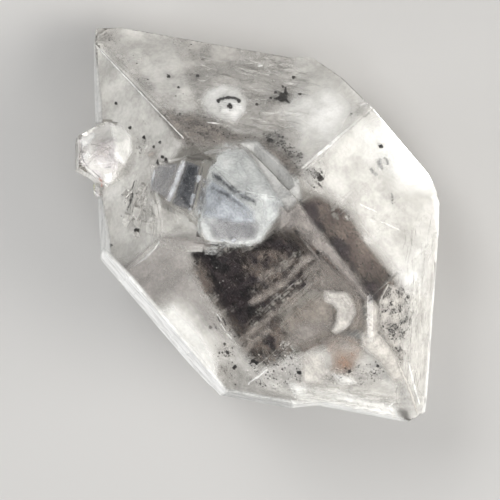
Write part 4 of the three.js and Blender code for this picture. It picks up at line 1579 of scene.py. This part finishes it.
@dataclass
class GrowthLines(SubAssembly):
    """Growth steps: the ridge bands, and the bands and lines across the faces; many of the bright lines are
    painted highlights along edges and painted glints.
    """

    crest: tuple[Pixel, ...] = (
        (280, 202), (290, 192), (302, 204), (317, 224), (337, 250), (356, 276), (372, 298), (368, 306),
        (350, 284), (326, 258), (306, 242), (290, 224))
    bars: tuple[tuple[Pixel, ...], ...] = (
        ((365, 302), (374, 299), (380, 308), (379, 340), (370, 342), (364, 334), (367, 318)),
        ((362, 334), (382, 334), (398, 354), (406, 380), (394, 384), (380, 364), (360, 346)))
    ridge: tuple[Stroke, ...] = (
        Stroke(((324, 254), (312, 258), (300, 264), (288, 278)), 5.0, 0.6),
        Stroke(((300, 236), (314, 252), (320, 262)), 5.0, 0.5))
    high_bars: tuple[Stroke, ...] = (
        Stroke(((398, 362), (410, 388), (418, 414)), 5.0, 0.2, 0.6),
        Stroke(((389, 284), (384, 294), (380, 303)), 3.0, 0.3))
    bands: tuple[tuple[Pixel, ...], ...] = (
        ((234, 340), (252, 325), (272, 309), (298, 289), (304, 296), (280, 314), (260, 331), (242, 348)),
        (
            (246, 302), (262, 290), (282, 278), (300, 256), (313, 250), (316, 258), (302, 270),
            (286, 288), (266, 300), (252, 308)),
        ((238, 350), (258, 331), (270, 324), (274, 332), (258, 344), (246, 356)),
        ((256, 276), (276, 264), (294, 256), (298, 262), (278, 272), (260, 284)))
    # tips: bright strokes, some growth lines, the rest painted highlights along the crystal's edges and
    # painted glints.
    tips: tuple[Stroke, ...] = (
        Stroke(((97, 46), (140, 92), (184, 138)), 1.8, 0.1, 0.1),
        Stroke(((160, 241), (152, 253), (134, 266)), 3.0, 0.2, 0.8),
        Stroke(((384, 410), (395, 402)), 2.0, 0.2),
        Stroke(((409, 362), (414, 384), (420, 404)), 3.0, 0.25),
        Stroke(((303, 168), (330, 144), (356, 122)), 4.0, 0.3, 0.9),
        Stroke(((207, 122), (220, 123.5)), 1.6, 0.2), Stroke(((258, 66), (263, 65)), 4.0, 0.2),
        Stroke(((216, 313), (222, 321)), 1.4, 0.15), Stroke(((221, 323), (226, 331)), 1.2, 0.15),
        Stroke(((227, 333), (232, 339)), 1.6, 0.15), Stroke(((248, 384), (268, 369)), 2.4, 0.4))

    def pieces(self) -> tuple[Piece, ...]:
        """Gives the bands and the lines, the bright ones partly painted edge highlights and glints.

        Returns:
            The pieces in order.
        """
        return (
            VeilSheets(
                "front_bands", same_patches(self.bands, (0.6, 1.0), 2, 5.0), Finishes.BAND, step_px=2.0,
                wave_mm=0.2),
            VeilSheets(
                "ridge_crest", (Patch(self.crest, (0.12, 0.3), 2, 4.5),), Finishes.RIDGE, step_px=1.5,
                wave_mm=0.05),
            VeilSheets(
                "pale_bars", same_patches(self.bars, (0.12, 0.3), 2, 5.0), Finishes.PALE, step_px=1.5,
                wave_mm=0.05),
            StrokeSet("ridge_bands", self.ridge, Finishes.RIDGE, side_fade=0.0),
            StrokeSet("high_bars", self.high_bars, Finishes.PALE, side_fade=0.08),
            # Bright strokes: partly growth lines, partly painted edge highlights and glints.
            StrokeSet("growth_lines_and_painted_glints", self.tips, Finishes.BRIGHT))


@dataclass
class EtchedFields(SubAssembly):
    """Ripples of the top face, fine lines by the high tip and on the low edge, and crackled spots; the pale
    strokes are painted glints on ripples and lines, the dim strokes their painted shade besides the real
    dark crackle lines.
    """

    top: tuple[Pixel, ...] = ((196, 54), (290, 58), (322, 84), (308, 128), (244, 134), (204, 118))
    tip_side: tuple[Pixel, ...] = ((398, 286), (428, 290), (427, 402), (408, 380), (398, 340))
    low_edge: tuple[Pixel, ...] = ((262, 386), (330, 382), (398, 396), (400, 410), (300, 402))
    crackle: tuple[Pixel, ...] = ((130, 174), (139, 174), (138, 204), (126, 214))
    net: tuple[Pixel, ...] = ((138, 192), (150, 196), (158, 226), (143, 228))
    under_bands: tuple[Pixel, ...] = ((262, 322), (292, 316), (286, 354), (256, 360))
    right_low: tuple[Pixel, ...] = ((402, 226), (436, 222), (430, 290), (408, 288))

    def pieces(self) -> tuple[Piece, ...]:
        """Gives the pale strokes, painted glints, and the dim strokes, painted shade and dark crackle
        lines, of the fields.

        Returns:
            The pieces in order.
        """
        # Pale strokes: painted glints on the ripples and fine lines.
        pale = (
            StrokeField(self.top, (1.0, 0.17), 130, (7.0, 26.0), (1.0, 3.0), (0.45, 0.75), seed=41),
            StrokeField(self.tip_side, (-0.05, 1.0), 70, (8.0, 30.0), (0.7, 1.4), stray=0.06, seed=43),
            StrokeField(self.low_edge, (1.0, 0.08), 60, (10.0, 34.0), (0.8, 1.6), stray=0.06, seed=47),
            StrokeField(self.net, (0.5, 1.0), 12, (6.0, 14.0), (0.8, 1.4), stray=0.5, seed=53))
        # Dim strokes: painted shade of the ripples and fine lines, and the real dark lines of the crackled
        # spots.
        dim = (
            StrokeField(self.top, (1.0, 0.17), 110, (6.0, 22.0), (1.0, 2.8), (0.45, 0.75), seed=59),
            StrokeField(self.tip_side, (-0.05, 1.0), 60, (6.0, 22.0), (0.6, 1.2), stray=0.06, seed=61),
            StrokeField(self.low_edge, (1.0, 0.08), 40, (8.0, 26.0), (0.6, 1.2), stray=0.06, seed=67),
            StrokeField(self.crackle, (-0.22, 1.0), 34, (5.0, 15.0), (0.6, 1.2), stray=0.2, seed=71),
            StrokeField(self.net, (0.5, 1.0), 34, (4.0, 12.0), (1.0, 2.6), stray=0.5, seed=73),
            StrokeField(self.under_bands, (-0.2, 1.0), 30, (4.0, 12.0), (0.8, 1.8), seed=79),
            StrokeField(self.right_low, (-0.06, 1.0), 20, (10.0, 34.0), (0.8, 1.6), stray=0.05, seed=83))
        return (
            StrokeSet(
                "painted_ripple_glints", tuple(line for area in pale for line in area.strokes()),
                Finishes.RIPPLE, side_fade=0.1),
            StrokeSet(
                "ripple_shade_and_dark_lines", tuple(line for area in dim for line in area.strokes()),
                Finishes.DIM_RIPPLE, side_fade=0.1))


@dataclass
class TinyCrystal(SubAssembly):
    """The clear tiny crystal on the low flank, with painted glints at its corners and painted bright and
    dark lines along its rims, and the bud below it.
    """

    body: tuple[Pixel, ...] = (
        (77, 138), (95, 128), (110, 122), (122, 125), (131, 135), (133, 150), (124, 168), (110, 184),
        (98, 178), (80, 164))
    # glints: painted highlights, white veils where the tiny crystal's faces catch the light.
    glints: tuple[tuple[Pixel, ...], ...] = (
        ((110, 124), (123, 125), (132, 136), (133, 152), (124, 166), (114, 158), (115, 146), (111, 134)),
        ((104, 174), (114, 172), (112, 184), (104, 184)),
        ((80, 138), (93, 131), (97, 136), (88, 146), (81, 148)),
        ((82, 156), (90, 151), (92, 156), (84, 160)))
    middle: tuple[Pixel, ...] = ((90, 140), (104, 134), (114, 146), (112, 160), (92, 162))
    # rims are painted bright edge lines and dim_rims painted dark edge lines, standing in for light and
    # shade along the clear tiny crystal's edges.
    rims: tuple[Stroke, ...] = (
        Stroke(((79.5, 140), (80, 156), (83, 165), (102, 182)), 1.4, 0.1, 0.1),
        Stroke(((110, 123), (122, 126.5), (131, 137), (131.5, 152)), 1.2, 0.1, 0.1),
        Stroke(((92, 164.5), (115, 162.6)), 1.6, 0.15))
    dim_rims: tuple[Stroke, ...] = (
        Stroke(((81.5, 142), (82, 156), (86, 165), (101, 178)), 1.2, 0.12, 0.1),
        Stroke(((108, 123), (114, 121.5), (119, 123)), 1.6, 0.1, 0.4),
        Stroke(((104, 168), (112, 166.5)), 1.6, 0.15))
    red_traces: tuple[Stroke, ...] = (
        Stroke(((99.5, 178), (102.5, 182), (102, 187)), 2.6, 0.05),
        Stroke(((101.5, 190), (99.5, 195)), 2.0, 0.05))
    bud_edge: tuple[Pixel, ...] = ((88, 184), (95.5, 184), (95, 194), (97, 206), (88, 204))
    bud_face: tuple[Pixel, ...] = ((95, 184), (101, 186), (101, 200), (98, 208), (95, 200))

    def pieces(self) -> tuple[Piece, ...]:
        """Gives the milky body, the painted glints, the painted bright and dark rim lines and the traces of
        colour.

        Returns:
            The pieces in order.
        """
        return (
            # Painted glints: white veils at the tiny crystal's bright corners.
            VeilSheets(
                "tiny_painted_glints", same_patches(self.glints, (0.1, 0.4), 3, 3.5), Finishes.WHITE,
                step_px=1.5, wave_mm=0.05, least_depth_mm=0.03),
            VeilSheets(
                "tiny_body", (Patch(self.body, (0.5, 1.2), 1, 3.0),), Finishes.ROSE_MILK, step_px=1.5,
                wave_mm=0.05),
            VeilSheets(
                "tiny_middle", (Patch(self.middle, (0.3, 0.6), 1, 5.0),), Finishes.TAUPE_MILK,
                step_px=1.5, wave_mm=0.05),
            # Painted highlight and painted shade lines along the tiny crystal's rims.
            StrokeSet("tiny_rim_highlights", self.rims, Finishes.ROSE_MILK, step_px=1.5),
            StrokeSet("tiny_rim_shade_lines", self.dim_rims, Finishes.SLATE, step_px=1.5, side_fade=0.1),
            StrokeSet("red_traces", self.red_traces, Finishes.RED, step_px=1.0),
            VeilSheets(
                "bud_edge", (Patch(self.bud_edge, BUD_SKIN_MM, 1, 1.0),), Finishes.LIME, step_px=0.7,
                wave_mm=0.0, least_depth_mm=-0.05, longest_mm=2.0),
            VeilSheets(
                "bud_face", (Patch(self.bud_face, BUD_SKIN_MM, 1, 1.5),), Finishes.ROSE_MILK,
                step_px=0.7, wave_mm=0.0, least_depth_mm=-0.05, longest_mm=2.0))


@dataclass
class HealedCracks(SubAssembly):
    """Pale hook and taupe pane of healed cracks beside the high tip, with painted light and shade that
    round the hook, and the rusty stain in the dome.
    """

    pane: tuple[Pixel, ...] = (
        (282, 318), (294, 304), (326, 293), (362, 298), (370, 332), (346, 336), (317, 346), (300, 354),
        (286, 344))
    speckled: tuple[Pixel, ...] = SPECKLED_ZONE
    wedge: tuple[Pixel, ...] = ((298, 352), (322, 348), (334, 372), (322, 388), (300, 386))
    pane_light: tuple[Pixel, ...] = (
        (284, 334), (296, 322), (318, 315), (336, 318), (338, 330), (322, 338), (302, 350), (288, 348))
    hook: tuple[Pixel, ...] = (
        (324, 290), (348, 291), (356, 302), (358, 313), (352, 325), (345, 331), (336, 335), (330, 331),
        (335, 322), (337, 311), (332, 305), (324, 302))
    # hook_light is a painted highlight on the hook's upper left and hook_shade painted shade beside it;
    # together they make the flat hook look rounded.
    hook_light: tuple[Pixel, ...] = (
        (326, 291), (346, 292), (353, 303), (350, 310), (342, 301), (327, 300))
    hook_shade: tuple[Pixel, ...] = (
        (353, 297), (361, 304), (363, 316), (358, 328), (346, 334), (352, 326), (358, 314), (356, 304))
    dome: tuple[Pixel, ...] = ((303, 350), (317, 345), (336, 335.5), (351, 337.5), (376, 345))
    arch: tuple[Pixel, ...] = (
        (318, 343), (334, 334), (352, 335), (366, 342), (362, 350), (346, 344), (330, 348))
    chip: tuple[Pixel, ...] = ((146, 150), (154, 147), (162, 150), (158, 159), (150, 161), (144, 156))
    stain: tuple[Pixel, ...] = (
        (322, 342), (338, 334), (354, 336), (370, 344), (366, 356), (352, 376), (336, 374), (330, 358))
    core: tuple[Pixel, ...] = ((328, 350), (340, 344), (357, 350), (359, 366), (347, 379), (330, 373))
    halo: tuple[tuple[Pixel, ...], ...] = (
        (
            (198, 100), (206, 88), (224, 82), (242, 86), (250, 99), (247, 113), (236, 124), (218, 121),
            (204, 114)), ((216, 99), (241, 99), (247, 108), (238, 121), (218, 118)))
    white: tuple[Pixel, ...] = ((330, 372), (350, 375), (360, 384), (340, 386))

    def pieces(self) -> tuple[Piece, ...]:
        """Gives the pane, the hook with its painted light and shade, the dome, the halo and the stain.

        Returns:
            The pieces in order.
        """
        return (
            # The taupe pane, with the hook_shade patch as painted shade beside the hook.
            VeilSheets(
                "taupe_pane_and_hook_shade",
                (Patch(self.pane, (1.2, 2.4), 3, 7.0), Patch(self.hook_shade, (0.7, 0.9), 1, 2.5)),
                Finishes.PANE, step_px=2.0, wave_mm=0.2),
            VeilSheets(
                "pale_hook", (Patch(self.hook, (0.8, 1.4), 3, 4.5),), Finishes.HOOK, step_px=1.5,
                wave_mm=0.1),
            VeilSheets(
                "pale_ground", (Patch(self.pane_light, (1.0, 1.2), 1, 9.0),), Finishes.RIDGE,
                step_px=2.0, wave_mm=0.1),
            # Painted highlight on the hook, with the pale speckled and wedge patches.
            VeilSheets(
                "hook_light", (
                    Patch(self.hook_light, (0.6, 0.8), 1, 3.5),
                    Patch(self.speckled, (0.5, 1.0), 2, 6.0), Patch(self.wedge, (0.3, 0.6), 1, 8.0)),
                Finishes.PALE, step_px=1.5, wave_mm=0.1),
            # Brown chips and arch, with the hook_shade patch as painted shade beside the hook.
            VeilSheets(
                "brown_chips_and_hook_shade", (
                    Patch(self.hook_shade, (0.6, 0.8), 1, 3.0), Patch(self.arch, (0.4, 0.8), 2, 6.0),
                    Patch(self.chip, (0.15, 0.3), 1, 5.0)), Finishes.BAND, step_px=1.5, wave_mm=0.1),
            StrokeSet("dome_line", (Stroke(self.dome, 4.0, 0.9, 0.3),), Finishes.UMBER, side_fade=0.1),
            VeilSheets(
                "rusty_stain",
                (Patch(self.stain, (0.3, 0.6), 1, 10.0), Patch(self.core, (0.3, 0.8), 2, 10.0)),
                Finishes.RUST, step_px=2.0, wave_mm=0.1),
            VeilSheets(
                "white_halo",
                (Patch(self.white, (0.3, 0.6), 2, 4.0), *same_patches(self.halo, (0.25, 0.7), 2, 7.0)),
                Finishes.WHITE, step_px=2.0, wave_mm=0.1))


@dataclass(frozen=True)
class SoftLamp:
    """A square soft lamp that points at the crystal."""

    name: str
    place_m: tuple[float, float, float]
    side_m: float
    watts: float
    colour: tuple[float, float, float] = (1.0, 1.0, 1.0)

    def build(self) -> None:
        """Hangs the lamp."""
        data = bpy.data.lights.new(self.name, "AREA")
        data.size = self.side_m
        data.energy = self.watts
        data.color = self.colour
        lamp = bpy.data.objects.new(self.name, data)
        lamp.location = self.place_m
        lamp.rotation_euler = (-Vector(self.place_m)).to_track_quat("-Z", "Y").to_euler()
        bpy.context.scene.collection.objects.link(lamp)
        LOG.info("%s: %.1f W", self.name, self.watts)


@dataclass
class Studio:
    """Pale floor and soft lamps."""

    lamps: tuple[SoftLamp, ...] = (
        SoftLamp("key_lamp", (0.30, 0.34, 0.30), 0.26, 2.2, (1.0, 0.98, 0.95)),
        SoftLamp("low_lamp", (-0.10, -0.44, 0.12), 0.22, 1.2, (0.98, 0.99, 1.0)),
        SoftLamp("top_lamp", (0.34, 0.10, 0.46), 0.26, 1.1),
        SoftLamp("tip_lamp", (-0.27, 0.19, 0.44), 0.24, 1.4))
    floor_z_mm: float = -0.02
    floor_m: float = 3.0
    world: Colour = rgb(0.80, 0.83, 0.87)
    world_strength: float = 0.30

    def build(self) -> None:
        """Builds the floor, the lamps and the surrounding light."""
        self.build_floor()
        self.build_world()
        for lamp in self.lamps:
            lamp.build()

    def build_floor(self) -> None:
        """Lays the floor a hair under the crystal."""
        half = self.floor_m / 2
        level = self.floor_z_mm * MM
        corners = [(-half, -half, level), (half, -half, level), (half, half, level), (-half, half, level)]
        mesh = bpy.data.meshes.new("studio_floor")
        mesh.from_pydata(corners, [], [(0, 1, 2, 3)])
        mesh.materials.append(StudioPaper("studio_paper").material())
        floor = bpy.data.objects.new("studio_floor", mesh)
        bpy.context.scene.collection.objects.link(floor)

    def build_world(self) -> None:
        """Sets an even pale light from all sides."""
        world = bpy.data.worlds.new("studio_world")
        world.use_nodes = True
        graph = Graph(world.node_tree)
        light = graph.add("ShaderNodeBackground", {"Color": self.world, "Strength": self.world_strength})
        graph.add("ShaderNodeOutputWorld", {"Surface": light.outputs[0]})
        bpy.context.scene.world = world


def set_picture() -> None:
    """Sets how light becomes colour and how far looks go on through the quartz."""
    scene = bpy.context.scene
    scene.view_settings.view_transform = "Standard"
    scene.view_settings.look = "None"
    scene.cycles.max_bounces = BOUNCES
    scene.cycles.transmission_bounces = BOUNCES
    scene.cycles.transparent_max_bounces = SEE_THROUGH_BOUNCES


def main() -> None:
    """Builds the crystal, what lies in it and the studio."""
    logging.basicConfig(level=logging.INFO, format="%(name)s %(message)s")
    CrystalShell().build()
    space = CrystalSpace(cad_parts[CAD_NODE])
    for inside in (CarbonCore(), BlackSpecks(), MilkyVeils(), SmallerCrystalLayers(), GrowthLines(),
                   HealedCracks(), EtchedFields(), TinyCrystal()):
        inside.build(space)
    Studio().build()
    VIEW.place_camera()
    set_picture()


if __name__ == "__main__":
    main()
